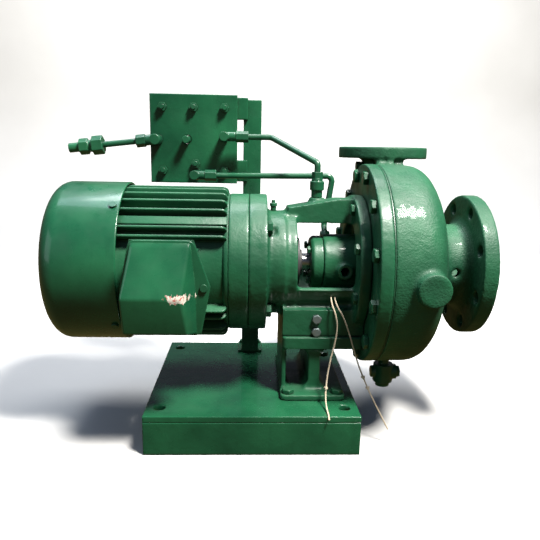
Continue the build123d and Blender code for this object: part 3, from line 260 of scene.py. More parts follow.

# %% [markdown]
# ## Green enamel
# The whole pump is brushed and sprayed with one thick machine enamel, over rough castings and
# smooth sheet alike. The paint is a Principled shader with a clear coat. Its colour drifts with
# the thickness of the layer, the creases are darkened as painted shade, dust lies on what faces
# up, and the edges turn paler in patches, partly as wear and partly as a painted highlight. The
# same recipe makes each finish, and only the relief changes.

# %% Enamel
deep_green = (0.0035, 0.042, 0.019)
lit_green = (0.011, 0.090, 0.038)
# Paler edge colour: partly wear, partly a painted highlight.
worn_and_highlit_green = (0.05, 0.20, 0.10)
# The colour of the painted shade in the creases.
crease_shade_brown = (0.007, 0.012, 0.007)
dust_grey = (0.12, 0.14, 0.11)


def enamel(name, grain_depth, grain_scale, lump_depth, gloss, dust=0.12, coat=0.4):
    material, tree, paint, at = new_finish(name)
    layer = band(tree, mottle(tree, at, 9.0, 5.0), 0.32, 0.68)
    colour = blend_colour(tree, layer, deep_green, lit_green)
    runs = band(tree, mottle(tree, at, 55.0, 3.0, (1.0, 1.0, 0.16)), 0.55, 0.75, 0.0, 0.3)
    colour = blend_colour(tree, runs, colour, deep_green)
    rounded, edge = edge_share(tree, 1.4 * mm)
    # The edges turn paler in ragged patches: partly wear, partly a painted highlight.
    chipped_and_highlit = times(tree, edge, band(tree, mottle(tree, at, 140.0), 0.45, 0.62, 0.0, 0.55))
    colour = blend_colour(tree, chipped_and_highlit, colour, worn_and_highlit_green)
    # Painted shade: ambient occlusion darkens the creases and hollows towards a near-black brown.
    crease = put(tree, "ShaderNodeAmbientOcclusion", {"Distance": 14 * mm}, samples=4)
    painted_crease_shade = band(tree, crease.outputs["AO"], 0.75, 0.30, 0.0, 0.75)
    colour = blend_colour(tree, painted_crease_shade, colour, crease_shade_brown)
    facing = put(tree, "ShaderNodeSeparateXYZ")
    join(tree, put(tree, "ShaderNodeNewGeometry").outputs["Normal"], facing.inputs["Vector"])
    up = band(tree, facing.outputs["Z"], 0.55, 1.0)
    settled = times(tree, up, band(tree, mottle(tree, at, 24.0, 7.0), 0.42, 0.72, 0.0, dust))
    colour = blend_colour(tree, settled, colour, dust_grey)
    join(tree, colour, paint.inputs["Base Color"])
    rough = band(tree, mottle(tree, at, 38.0, 6.0), 0.3, 0.75, gloss, gloss + 0.22)
    join(tree, times(tree, rough, settled, "ADD"), paint.inputs["Roughness"])
    paint.inputs["Coat Weight"].default_value = coat
    paint.inputs["Coat Roughness"].default_value = 0.07
    paint.inputs["Specular IOR Level"].default_value = 0.35
    normal = relief(tree, mottle(tree, at, 60.0, 3.0), lump_depth, rounded)
    if grain_depth:
        normal = relief(tree, mottle(tree, at, grain_scale, 3.0), grain_depth, normal)
    normal = relief(tree, mottle(tree, at, 420.0, 2.0), 0.03 * mm, normal)
    join(tree, normal, paint.inputs["Normal"])
    return material


sheet_enamel = enamel("sheet_enamel", 0, 0, 0.2 * mm, 0.20, 0.12, 0.3)
plate_enamel = enamel("plate_enamel", 0.12 * mm, 210.0, 0.5 * mm, 0.16, 0.03, 0.3)
cast_enamel = enamel("cast_enamel", 0.7 * mm, 330.0, 0.6 * mm, 0.46, 0.12, 0.05)
smooth_cast_enamel = enamel("smooth_cast_enamel", 0.25 * mm, 300.0, 0.4 * mm, 0.36, 0.12, 0.1)
fitting_enamel = enamel("fitting_enamel", 0.15 * mm, 300.0, 0.3 * mm, 0.26, 0.12, 0.3)
print("five green enamels")

# %% [markdown]
# ## Scraped enamel for the conduit cover
# The cover's ridge has been knocked, which broke the paint down to a pale primer with a little
# red undercoat. The mask is a soft blob round one place, cut by noise so that its rim is ragged.

# %% Scraped enamel
cover_low, cover_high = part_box("conduit_cover")
scrape_middle = Vector((cover_high.x - 40 * mm, cover_low.y + 2 * mm, cover_low.z + 59 * mm))


def scraped_enamel():
    material = sheet_enamel.copy()
    material.name = "scraped_enamel"
    tree = material.node_tree
    paint = tree.nodes["Principled BSDF"]
    at = next(part for part in tree.nodes if part.type == "TEX_COORD").outputs["Object"]
    offset = put(tree, "ShaderNodeVectorMath", operation="SUBTRACT")
    offset.inputs[1].default_value = scrape_middle
    join(tree, at, offset.inputs[0])
    squeeze = put(tree, "ShaderNodeVectorMath", operation="MULTIPLY")
    squeeze.inputs[1].default_value = (1 / (28 * mm), 0.0, 1 / (11 * mm))
    join(tree, offset.outputs["Vector"], squeeze.inputs[0])
    away = put(tree, "ShaderNodeVectorMath", operation="LENGTH")
    join(tree, squeeze.outputs["Vector"], away.inputs[0])
    ragged = times(tree, mottle(tree, at, 190.0, 6.0, (1.0, 1.0, 0.45)), 1.7)
    reach = times(tree, away.outputs["Value"], ragged, "ADD")
    bare = band(tree, reach, 1.42, 1.34)
    primer = blend_colour(
        tree, band(tree, mottle(tree, at, 260.0), 0.55, 0.60), (0.44, 0.41, 0.35), (0.33, 0.09, 0.07)
    )
    covered = paint.inputs["Base Color"].links[0].from_socket
    join(tree, blend_colour(tree, bare, covered, primer), paint.inputs["Base Color"])
    old_rough = paint.inputs["Roughness"].links[0].from_socket
    join(tree, times(tree, old_rough, times(tree, bare, 0.4), "ADD"), paint.inputs["Roughness"])
    old_normal = paint.inputs["Normal"].links[0].from_socket
    join(tree, relief(tree, times(tree, bare, -1.0), 0.25 * mm, old_normal), paint.inputs["Normal"])
    return material


cover_enamel = scraped_enamel()
print("scrape round", [round(part, 3) for part in scrape_middle])

# %% [markdown]
# ## Bare metals, rubber and plastic
# The inner pieces are not painted: ground steel shaft and bearings, zinc-plated screws, bronze
# impeller, varnished copper coils, laminated iron. One recipe covers the metals. It draws fine
# turning marks round the shaft by stretching noise, and tarnish makes patches rougher and darker.

# %% Metals
def metal(name, bright, dull, rough, marks, tarnish=0.5):
    material, tree, surface, at = new_finish(name)
    patches = band(tree, mottle(tree, at, 45.0, 6.0), 0.35, 0.7, 0.0, tarnish)
    rounded, edge = edge_share(tree, 0.6 * mm)
    colour = blend_colour(tree, patches, bright, dull)
    colour = blend_colour(tree, times(tree, edge, 0.5), colour, bright)
    join(tree, colour, surface.inputs["Base Color"])
    surface.inputs["Metallic"].default_value = 1.0
    join(tree, band(tree, patches, 0.0, 1.0, rough, rough + 0.35), surface.inputs["Roughness"])
    lines = mottle(tree, at, 900.0, 2.0, marks)
    normal = relief(tree, lines, 0.02 * mm, rounded)
    join(tree, normal, surface.inputs["Normal"])
    return material


def dull_finish(name, colour, shade, rough, grain, depth):
    material, tree, surface, at = new_finish(name)
    patches = band(tree, mottle(tree, at, 50.0, 5.0), 0.3, 0.7)
    join(tree, blend_colour(tree, patches, colour, shade), surface.inputs["Base Color"])
    spots = mottle(tree, at, grain, 4.0)
    join(tree, band(tree, spots, 0.2, 0.8, rough - 0.1, rough + 0.1), surface.inputs["Roughness"])
    rounded, _ = edge_share(tree, 0.5 * mm)
    join(tree, relief(tree, spots, depth, rounded), surface.inputs["Normal"])
    return material


around_shaft = (1.0, 0.05, 0.05)
zinc = metal("zinc_plate", (0.26, 0.30, 0.31), (0.10, 0.13, 0.12), 0.42, (1.0, 1.0, 1.0), 0.8)
finishes = {
    "green_enamel": fitting_enamel,
    "green_cast": smooth_cast_enamel,
    "bare_steel": metal("ground_steel", (0.50, 0.50, 0.51), (0.20, 0.18, 0.16), 0.22, around_shaft),
    "laminated_iron": metal(
        "laminated_iron", (0.24, 0.24, 0.25), (0.12, 0.11, 0.10), 0.45, (3.0, 0.02, 0.02)
    ),
    "copper_winding": metal(
        "copper_winding", (0.60, 0.25, 0.11), (0.30, 0.12, 0.05), 0.35, (2.0, 0.3, 0.3)
    ),
    "bronze": metal("cast_bronze", (0.52, 0.34, 0.15), (0.28, 0.20, 0.10), 0.38, (1.0, 1.0, 1.0)),
    "black_rubber": dull_finish(
        "black_rubber", (0.022, 0.022, 0.022), (0.045, 0.043, 0.04), 0.62, 500.0, 0.05 * mm
    ),
    "grey_plastic": dull_finish(
        "grey_plastic", (0.10, 0.10, 0.10), (0.15, 0.15, 0.145), 0.5, 700.0, 0.04 * mm
    ),
}
painted_gasket = dull_finish(
    "painted_gasket", (0.005, 0.040, 0.018), (0.012, 0.075, 0.034), 0.45, 500.0, 0.05 * mm
)
print("finishes", sorted(finishes))

# %% [markdown]
# ## The twine
# Two lengths of thin twine, left from an old tag, hang from the trough under the seal. Each is a
# smooth NURBS line through the route's points. Twine is laid up from plies, so three thin strands
# wind round that line, which is read back from the curve as a fine polyline.

# %% Twine material
def twine_finish():
    material, tree, surface, at = new_finish("tan_twine")
    fibres = mottle(tree, at, 1500.0, 4.0, (1.0, 1.0, 0.3))
    stained = band(tree, mottle(tree, at, 30.0, 4.0), 0.35, 0.65)
    colour = blend_colour(tree, stained, (0.50, 0.40, 0.27), (0.30, 0.23, 0.15))
    join(tree, blend_colour(tree, fibres, colour, (0.62, 0.52, 0.38)), surface.inputs["Base Color"])
    surface.inputs["Roughness"].default_value = 0.85
    surface.inputs["Sheen Weight"].default_value = 0.3
    join(tree, relief(tree, fibres, 0.15 * mm), surface.inputs["Normal"])
    return material


finishes["tan_twine"] = twine_finish()

# %% Twine routes
twine_radius = 1.3 * mm
front_route = [
    (0.121, -0.079852, 0.223601),
    (0.121, -0.091725, 0.216182),
    (0.126, -0.099, 0.203),
    (0.130, -0.102, 0.186),
    (0.128, -0.103, 0.162),
    (0.121, -0.106, 0.134),
    (0.115, -0.113, 0.104),
    (0.112, -0.124, 0.080),
    (0.112, -0.142, 0.066),
    (0.113, -0.158, 0.065),
    (0.113, -0.168, 0.060),
]
side_route = [
    (0.127, -0.079852, 0.223601),
    (0.127, -0.091725, 0.216182),
    (0.138, -0.098, 0.199),
    (0.147, -0.101, 0.177),
    (0.155, -0.104, 0.151),
    (0.163, -0.108, 0.125),
    (0.174, -0.113, 0.098),
    (0.187, -0.118, 0.071),
    (0.200, -0.122, 0.046),
    (0.212, -0.127, 0.024),
]
print("route points", len(front_route), len(side_route))

# %% Twine strands and knots
def nurbs_line(name, route):
    """The smooth centreline through a route's points, as a fine polyline."""
    curve = bpy.data.curves.new(name + "_line", "CURVE")
    curve.dimensions = "3D"
    curve.resolution_u = 12
    spline = curve.splines.new("NURBS")
    spline.points.add(len(route) - 1)
    for point, place in zip(spline.points, route):
        point.co = (*place, 1.0)
    spline.order_u = 3
    spline.use_endpoint_u = True
    holder = link(name + "_line", curve)
    mesh = bpy.data.meshes.new_from_object(holder)
    line = [vertex.co.copy() for vertex in mesh.vertices]
    bpy.data.objects.remove(holder)
    return line


def resampled(line, step):
    """The same line with points an equal step apart."""
    points, left = [line[0]], step
    for start, end in zip(line, line[1:]):
        run = (end - start).length
        while run >= left:
            start = start.lerp(end, left / run)
            run = (end - start).length
            points.append(start)
            left = step
        left -= run
    points.append(line[-1])
    return points


def cross_sections(line):
    """Each point of a line with the two directions across it, which never twist."""
    side = Vector((1, 0, 0))
    for index, point in enumerate(line):
        ahead = (line[min(index + 1, len(line) - 1)] - line[max(index - 1, 0)]).normalized()
        side = (side - ahead * side.dot(ahead)).normalized()
        yield point, side, ahead.cross(side)


def tube_round(work, line, radius, sides=6):
    """Adds a closed tube along a line to a bmesh."""
    rings = []
    for point, side, up in cross_sections(line):
        ring = []
        for step in range(sides):
            angle = 2 * math.pi * step / sides
            place = point + radius * (side * math.cos(angle) + up * math.sin(angle))
            ring.append(work.verts.new(place))
        rings.append(ring)
    for ring, following in zip(rings, rings[1:]):
        bridge(work, ring, following)
    work.faces.new(list(reversed(rings[0])))
    work.faces.new(rings[-1])


def twine(name, route, knot_shares):
    """Three plies wound round a route, with a knot at each of these shares of its length."""
    spacing = 0.8 * mm
    line = resampled(nurbs_line(name, route), spacing)
    work = bmesh.new()
    ply_radius = twine_radius * 0.5
    lay = 9 * mm
    for ply in range(3):
        strand = []
        for index, (point, side, up) in enumerate(cross_sections(line)):
            angle = 2 * math.pi * (ply / 3 + index * spacing / lay)
            strand.append(point + ply_radius * (side * math.cos(angle) + up * math.sin(angle)))
        tube_round(work, strand, ply_radius)
    piece = written(work, name)
    piece.data.shade_smooth()
    knots = [twine_knot(f"{name}_knot_{n}", line, share) for n, share in enumerate(knot_shares)]
    return piece, line, knots


def twine_knot(name, line, share):
    """An overhand knot: a small trefoil of twine with two cut ends, round the line."""
    middle = line[int(share * (len(line) - 1))]
    trefoil = []
    turns, knot_size = 48, 1.15 * mm
    for step in range(turns + 1):
        angle = 2 * math.pi * step / turns
        across = math.sin(angle) + 1.4 * math.sin(2 * angle)
        out = math.cos(angle) - 1.4 * math.cos(2 * angle)
        trefoil.append(middle + knot_size * Vector((across, out, -1.2 * math.sin(3 * angle))))
    work = bmesh.new()
    tube_round(work, trefoil, 0.9 * mm)
    for way in (-1, 1):
        end = [middle + Vector((way * 0.6 * t * mm, -1.2 * mm, (t + 1) * 0.7 * mm)) for t in range(5)]
        tube_round(work, end, 0.6 * mm)
    knot = written(work, name)
    knot.data.shade_smooth()
    return knot


for node, route, knot_shares in (
    ("front_tie_string", front_route, (0.72,)),
    ("side_tie_string", side_route, (0.60, 0.68)),
):
    piece, line, knots = twine(node.replace("string", "twine"), route, knot_shares)
    fit(piece, "pump_frame", "tan_twine", finishes["tan_twine"], node)
    for knot in knots:
        fit(knot, "pump_frame", "tan_twine", finishes["tan_twine"])

# %% [markdown]
# ## Castings
# A real casting has no sharp edges: the pattern's corners are rounded, so are the hollows
# between its walls, and the sand leaves a rough skin. A copy of the design's mesh is remeshed
# into even small faces, swelled and shrunk again, which fills the hollow corners, smoothed, and
# pushed in and out a little by noise.

# %% Casting maker
skin_noise = bpy.data.textures.new("sand_skin", "CLOUDS")
skin_noise.noise_scale = 9 * mm
skin_noise.noise_depth = 3


def casting(node, name, cell, fillet, passes, lumps):
    """A node's mesh in faces of cell size, its hollows filled by fillet, smoothed and lumpy."""
    piece = merged_copy(node, name)

    def remesh():
        step = piece.modifiers.new("remesh", "REMESH")
        step.mode = "VOXEL"
        step.voxel_size = cell

    def swell(distance):
        step = piece.modifiers.new("swell", "DISPLACE")
        step.strength = distance
        step.mid_level = 0.0

    remesh()
    if fillet:
        swell(fillet)
        remesh()
        swell(-fillet)
    soften = piece.modifiers.new("soften", "SMOOTH")
    soften.factor = 0.5
    soften.iterations = passes
    if lumps:
        skin = piece.modifiers.new("skin", "DISPLACE")
        skin.texture = skin_noise
        skin.texture_coords = "LOCAL"
        skin.strength = lumps
        skin.mid_level = 0.55
    settle(piece)
    piece.data.shade_smooth()
    return piece


castings = (
    ("casing", "casing_casting", 2.6, 3.0, 2, 0.6, cast_enamel),
    ("casing_cover", "casing_cover_casting", 2.0, 2.0, 3, 0.5, smooth_cast_enamel),
    ("adapter_frame", "adapter_casting", 2.0, 3.5, 4, 0.6, smooth_cast_enamel),
    ("pump_foot", "foot_casting", 1.8, 4.0, 4, 0.6, smooth_cast_enamel),
    ("drive_end_bell", "drive_end_shield", 2.0, 2.0, 3, 0.3, smooth_cast_enamel),
    ("seal_gland", "gland_casting", 1.1, 0, 3, 0.2, smooth_cast_enamel),
)
for node, name, cell, fillet, passes, lumps, finish in castings:
    piece = casting(node, name, cell * mm, fillet * mm, passes, lumps * mm)
    fit(piece, "pump_frame", "green_cast", finish, node)

# %% [markdown]
# ## Plates and pipe fittings
# The base, post, panel and fittings are rolled, cut or forged steel under thick paint, with
# small even edge radii. They get the same treatment in a finer grain, with no rough skin.

# %% Plates and fittings
soft_edged = (
    ("base_top_plate", "base_top", 2.0, 3, plate_enamel),
    ("base_skirt", "base_sides", 2.0, 3, plate_enamel),
    ("panel_post", "post_angle", 1.3, 2, plate_enamel),
    ("panel_plate", "port_plate", 1.1, 2, plate_enamel),
    ("panel_bars", "plate_bars", 1.2, 2, plate_enamel),
    ("conduit_box", "conduit_body", 1.4, 3, sheet_enamel),
    ("drain_elbow", "drain_fitting", 0.7, 4, fitting_enamel),
    ("left_port_elbow", "left_elbow", 0.6, 4, fitting_enamel),
    ("upper_port_elbow", "upper_elbow", 0.6, 4, fitting_enamel),
    ("lower_port_elbow", "lower_elbow", 0.6, 4, fitting_enamel),
    ("centre_port_nipple", "centre_nipple", 0.6, 3, fitting_enamel),
    ("arm_elbow", "arm_fitting", 0.6, 5, fitting_enamel),
    ("left_union", "left_union_body", 0.6, 3, fitting_enamel),
    ("tube_nuts", "compression_nuts", 0.55, 3, fitting_enamel),
    ("pipe_plugs", "port_plugs", 0.55, 3, fitting_enamel),
    ("gland_connector", "gland_union", 0.5, 3, fitting_enamel),
    ("vent_fitting", "grease_nipple", 0.4, 3, fitting_enamel),
)
for node, name, cell, passes, finish in soft_edged:
    piece = casting(node, name, cell * mm, 0, passes, 0)
    fit(piece, "pump_frame", "green_enamel", finish, node)

# %% [markdown]
# ## Fan cowl
# The cowl is spun from sheet steel, so it is a lathe shape: a profile turned about the shaft.
# Its outer corner is a wide arc, its open rim is rolled outwards, and the end has rings of
# holes for the air. The holes repeat, so Geometry Nodes cut them.

# %% Lathe
def round_shaft(x, radius, angle):
    """A point at this distance from the shaft's axis; angle 0 is the far side."""
    return (x, shaft_y + radius * math.cos(angle), shaft_z + radius * math.sin(angle))


def lathe(name, profile, steps=160):
    """Turns a closed (x, radius) profile about the shaft's axis."""
    work = bmesh.new()
    rings = []
    for index in range(steps):
        angle = 2 * math.pi * index / steps
        rings.append([work.verts.new(round_shaft(x, radius, angle)) for x, radius in profile])
    for index, ring in enumerate(rings):
        bridge(work, ring, rings[(index + 1) % steps])
    bmesh.ops.remove_doubles(work, verts=work.verts, dist=0.001 * mm)
    bmesh.ops.recalc_face_normals(work, faces=work.faces)
    return written(work, name)


def arc(centre_x, centre_r, radius, start, end, count=8):
    """Points of an arc in the (x, radius) plane, between two angles in degrees."""
    points = []
    for step in range(count + 1):
        angle = math.radians(start + (end - start) * step / count)
        points.append((centre_x + radius * math.cos(angle), centre_r + radius * math.sin(angle)))
    return points

# %% Geometry Nodes helpers
def geometry_tree(name, inputs):
    """An empty tree with named inputs, its input node and its output node."""
    tree = bpy.data.node_groups.new(name, "GeometryNodeTree")
    tree.interface.new_socket("Geometry", in_out="INPUT", socket_type="NodeSocketGeometry")
    for label, kind in inputs:
        tree.interface.new_socket(label, in_out="INPUT", socket_type="NodeSocket" + kind)
    tree.interface.new_socket("Geometry", in_out="OUTPUT", socket_type="NodeSocketGeometry")
    return tree, tree.nodes.new("NodeGroupInput"), tree.nodes.new("NodeGroupOutput")


def run_tree(piece, tree, values):
    """Runs a tree on a piece with these inputs and leaves a plain mesh."""
    modifier = piece.modifiers.new(tree.name, "NODES")
    modifier.node_group = tree
    for item in tree.interface.items_tree:
        if item.in_out == "INPUT" and item.name in values:
            modifier[item.identifier] = values[item.name]
    return settle(piece)


def end_tree(tree, geometry, start, end):
    """Ends a tree in Realize Instances and Set Material."""
    plain = put(tree, "GeometryNodeRealizeInstances")
    painted = put(tree, "GeometryNodeSetMaterial")
    join(tree, geometry, plain.inputs["Geometry"])
    join(tree, plain.outputs["Geometry"], painted.inputs["Geometry"])
    join(tree, start.outputs["Material"], painted.inputs["Material"])
    join(tree, painted.outputs["Geometry"], end.inputs["Geometry"])

# %% Air holes tree
def air_holes_tree(rings):
    """Cuts rings of round holes through an end wall that stands across X."""
    tree, start, end = geometry_tree(
        "air_holes",
        [
            ("Hole Radius", "Float"),
            ("Ring Gap", "Float"),
            ("First Ring", "Float"),
            ("Middle", "Vector"),
            ("Material", "Material"),
        ],
    )
    cutter = put(tree, "GeometryNodeMeshCylinder", {"Vertices": 20, "Depth": 12 * mm})
    join(tree, start.outputs["Hole Radius"], cutter.inputs["Radius"])
    gathered = put(tree, "GeometryNodeJoinGeometry")
    for number, count in enumerate(rings):
        wide = times(tree, start.outputs["Ring Gap"], float(number))
        circle = put(tree, "GeometryNodeMeshCircle", {"Vertices": count})
        join(tree, times(tree, wide, start.outputs["First Ring"], "ADD"), circle.inputs["Radius"])
        placed = put(tree, "GeometryNodeInstanceOnPoints")
        join(tree, circle.outputs["Mesh"], placed.inputs["Points"])
        join(tree, cutter.outputs["Mesh"], placed.inputs["Instance"])
        join(tree, placed.outputs["Instances"], gathered.inputs["Geometry"])
    whole = put(tree, "GeometryNodeRealizeInstances")
    join(tree, gathered.outputs["Geometry"], whole.inputs["Geometry"])
    across = put(tree, "GeometryNodeTransform", {"Rotation": (0, math.pi / 2, 0)})
    join(tree, whole.outputs["Geometry"], across.inputs["Geometry"])
    join(tree, start.outputs["Middle"], across.inputs["Translation"])
    cut = put(tree, "GeometryNodeMeshBoolean", operation="DIFFERENCE", solver="EXACT")
    join(tree, start.outputs["Geometry"], cut.inputs["Mesh 1"])
    join(tree, across.outputs["Geometry"], cut.inputs["Mesh 2"])
    end_tree(tree, cut.outputs["Mesh"], start, end)
    return tree

# %% Fan cowl
cowl_low, cowl_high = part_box("fan_cowl")
cowl_radius = (cowl_high.z - cowl_low.z) / 2
cowl_wall = 3 * mm
corner = 26 * mm
rim = cowl_high.x
outside = arc(cowl_low.x + corner, cowl_radius - corner - 0.2 * mm, corner, 180, 90, 12)
inside = arc(
    cowl_low.x + corner, cowl_radius - corner - 0.2 * mm, corner - cowl_wall, 90, 180, 12
)
rolled = arc(rim - 1.8 * mm, cowl_radius - 1.8 * mm, 1.8 * mm, 100, -80, 8)
cowl_profile = (
    [(cowl_low.x, 0.0)]
    + outside
    + [(rim - 5 * mm, cowl_radius - 0.2 * mm)]
    + rolled
    + [(rim - 5 * mm, cowl_radius - cowl_wall)]
    + inside
    + [(cowl_low.x + cowl_wall, 0.0)]
)
cowl = lathe("cowl_shell", cowl_profile)
cowl = run_tree(
    cowl,
    air_holes_tree((10, 16, 22)),
    {
        "Hole Radius": 7 * mm,
        "Ring Gap": 22 * mm,
        "First Ring": 34 * mm,
        "Middle": (cowl_low.x, shaft_y, shaft_z),
        "Material": sheet_enamel,
    },
)
fit(smooth(cowl, 40), "pump_frame", "green_enamel", sheet_enamel, "fan_cowl")

# %% [markdown]
# ## Motor frame
# The frame is a ribbed iron barrel. The ribs carry heat away and run along the motor above and
# below, with rounded crests and ends. One rib is drawn, and Geometry Nodes turn copies of it
# about the shaft. A plain strip between two ribs is where a data plate was once screwed on.

# %% Ribs tree
def ribs_tree():
    tree, start, end = geometry_tree(
        "motor_ribs",
        [
            ("Rib", "Object"),
            ("Count", "Int"),
            ("First Angle", "Float"),
            ("Step", "Float"),
            ("Axis Point", "Vector"),
            ("Material", "Material"),
        ],
    )
    points = put(tree, "GeometryNodePoints")
    join(tree, start.outputs["Count"], points.inputs["Count"])
    rib = put(tree, "GeometryNodeObjectInfo")
    join(tree, start.outputs["Rib"], rib.inputs["Object"])
    turned = times(tree, put(tree, "GeometryNodeInputIndex").outputs["Index"], start.outputs["Step"])
    angle = times(tree, turned, start.outputs["First Angle"], "ADD")
    spin = put(tree, "ShaderNodeCombineXYZ")
    join(tree, angle, spin.inputs["X"])
    placed = put(tree, "GeometryNodeInstanceOnPoints")
    join(tree, points.outputs["Points"], placed.inputs["Points"])
    join(tree, rib.outputs["Geometry"], placed.inputs["Instance"])
    join(tree, spin.outputs["Vector"], placed.inputs["Rotation"])
    moved = put(tree, "GeometryNodeTranslateInstances")
    join(tree, placed.outputs["Instances"], moved.inputs["Instances"])
    join(tree, start.outputs["Axis Point"], moved.inputs["Translation"])
    moved.inputs["Local Space"].default_value = False
    end_tree(tree, moved.outputs["Instances"], start, end)
    return tree

# %% One rib
frame_low, frame_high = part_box("motor_frame")
barrel_radius = 106 * mm
rib_top = 122 * mm
rib_left = frame_low.x + 12 * mm
rib_right = frame_high.x - 2 * mm


def plate_from_outline(name, outline, thickness, round_off):
    """A flat plate whose outline lies in (x, y) and whose thickness is along z, rounded."""
    work = bmesh.new()
    low = [work.verts.new((x, y, -thickness / 2)) for x, y in outline]
    high = [work.verts.new((x, y, thickness / 2)) for x, y in outline]
    work.faces.new(list(reversed(low)))
    work.faces.new(high)
    bridge(work, low, high)
    bmesh.ops.recalc_face_normals(work, faces=work.faces)
    return round_edges(written(work, name), round_off, 3, 30)


rib_corner = 9 * mm
root = barrel_radius - 2 * mm
rib_outline = (
    [(rib_left, root), (rib_right, root)]
    + arc(rib_right - rib_corner, rib_top - rib_corner, rib_corner, 0, 90, 6)
    + arc(rib_left + rib_corner, rib_top - rib_corner, rib_corner, 90, 180, 6)
)
rib_thickness = 4.2 * mm
rib = plate_from_outline("rib", rib_outline, rib_thickness, 1.6 * mm)
print("one rib", round((rib_right - rib_left) / mm), "mm long")

# %% All the ribs
ribs = ribs_tree()
motor_parts = []
for count, first, step in (
    (9, 50.0, 10.0),
    (9, 230.0, 10.0),
    (2, 145.0, 7.0),
    (2, 208.0, 7.0),
    (2, 28.0, 7.0),
    (2, 325.0, 7.0),
):
    name = f"ribs_from_{first:.0f}"
    holder = link(name, bpy.data.meshes.new(name))
    values = {
        "Rib": rib,
        "Count": count,
        "First Angle": math.radians(first),
        "Step": math.radians(step),
        "Axis Point": (0.0, shaft_y, shaft_z),
        "Material": smooth_cast_enamel,
    }
    motor_parts.append(run_tree(holder, ribs, values))
bpy.data.objects.remove(rib)

# %% Barrel, plate strip and box pad
left, right = frame_low.x, frame_high.x
step_up = 4 * mm
barrel_profile = [
    (left, barrel_radius - 6 * mm),
    (left, barrel_radius + 1 * mm),
    (left + 8 * mm, barrel_radius + 1 * mm),
    (left + 11 * mm, barrel_radius),
    (right - 8 * mm, barrel_radius),
    (right - 6 * mm, barrel_radius + step_up - 1 * mm),
    (right - 4 * mm, barrel_radius + step_up),
    (right, barrel_radius + step_up),
    (right, barrel_radius - 6 * mm),
]
motor_parts.append(lathe("barrel", barrel_profile))
print("motor ribs", sum(len(part.data.polygons) for part in motor_parts[:-1]), "faces")


def arched_pad(name, middle_degrees, half_degrees, x_from, x_to, inner, outer):
    """A pad that follows the barrel, given by its middle angle about the shaft."""
    work = bmesh.new()
    rows = []
    for x in (x_from, x_to):
        row = []
        for radius in (inner, outer):
            for step in range(9):
                angle = math.radians(middle_degrees + half_degrees * (step / 4 - 1))
                row.append(work.verts.new(round_shaft(x, radius, angle)))
        rows.append(row[:9] + list(reversed(row[9:])))
    bridge(work, *rows)
    work.faces.new(rows[0])
    work.faces.new(list(reversed(rows[1])))
    bmesh.ops.recalc_face_normals(work, faces=work.faces)
    return round_edges(written(work, name), 1.2 * mm, 3, 40)


plate_strip = arched_pad(
    "plate_strip", 138, 3.6, rib_left, rib_right, barrel_radius - 2 * mm, barrel_radius + 10 * mm
)
motor_parts.append(plate_strip)
box_low, box_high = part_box("conduit_box")
pad_left, pad_right = box_low.x + 24 * mm, box_high.x - 30 * mm
pad_bottom, pad_top = box_low.z + 30 * mm, box_high.z - 30 * mm
pad_outline = [
    (pad_left, pad_bottom),
    (pad_right, pad_bottom),
    (pad_right, pad_top),
    (pad_left, pad_top),
]
pad = plate_from_outline("box_pad", pad_outline, 16 * mm, 3 * mm)
onto_barrel = Matrix.Translation((0, shaft_y - barrel_radius - 1 * mm, 0))
pad.data.transform(onto_barrel @ Matrix.Rotation(math.pi / 2, 4, "X"))
motor_parts.append(pad)
motor = merge_pieces("motor_barrel", motor_parts)
fit(smooth(motor, 40), "pump_frame", "green_cast", smooth_cast_enamel, "motor_frame")

# %% [markdown]
# ## Conduit cover
# The cover over the motor's terminals is pressed from sheet: a six-sided flange with a roof
# whose ridge stands nearest to the viewer. The roof is a low cage of flat facets, and a Bevel
# modifier rounds its folds as a press would.

# %% Conduit cover
cover_centre = cover_low + Vector((60 * mm, 0, 67 * mm))


def cover_point(spot, depth):
    """A point of the cover, from its place on the flange and its height above it in mm."""
    x, z = spot
    return (cover_centre.x + x * mm, cover_high.y - depth * mm, cover_centre.z + z * mm)


def hull_between(name, back, front, front_faces, round_off, segments=4):
    """A solid between two rings of points, with the given faces on its front ring."""
    work = bmesh.new()
    behind = [work.verts.new(place) for place in back]
    ahead = [work.verts.new(place) for place in front]
    work.faces.new(behind)
    bridge(work, behind, ahead)
    for face in front_faces:
        work.faces.new([ahead[index] for index in face])
    bmesh.ops.recalc_face_normals(work, faces=work.faces)
    return round_edges(written(work, name), round_off, segments, 8)


def rounded_corners(spots, radius, steps=5):
    """Swaps each corner of an outline for a small curve, as a press die would leave it."""
    found = []
    for index, corner in enumerate(spots):
        corner = Vector(corner)
        before = (Vector(spots[index - 1]) - corner).normalized()
        after = (Vector(spots[(index + 1) % len(spots)]) - corner).normalized()
        for step in range(steps + 1):
            share = step / steps
            pull = before * (1 - share) ** 2 + after * share**2
            found.append(tuple(corner + pull * radius))
    return found

# %% Cover flange and roof
flange_corners = [(-45, 68), (43, 68), (66, 2), (53, -67), (-58, -67), (-60, -5)]
flange_spots = rounded_corners(flange_corners, 9)
flange = hull_between(
    "cover_flange",
    [cover_point(spot, 0) for spot in flange_spots],
    [cover_point(spot, 4) for spot in flange_spots],
    [range(len(flange_spots))],
    1.0 * mm,
)
foot_spots = [(-44, 66), (40, 66), (47, -4), (48, -65), (-56, -65), (-58, -6)]
ridge_z, ridge_depth = -8, 34
roof_spots = [
    (-40, 60, 7),
    (37, 60, 7),
    (28, ridge_z, ridge_depth),
    (36, -60, 25),
    (-52, -60, 25),
    (-54, ridge_z, ridge_depth),
]
roof = hull_between(
    "cover_roof",
    [cover_point(spot, 3) for spot in foot_spots],
    [cover_point((x, z), depth) for x, z, depth in roof_spots],
    [(0, 1, 2, 5), (5, 2, 3, 4)],
    5 * mm,
    5,
)
cover = merge_pieces("terminal_cover", [flange, roof])
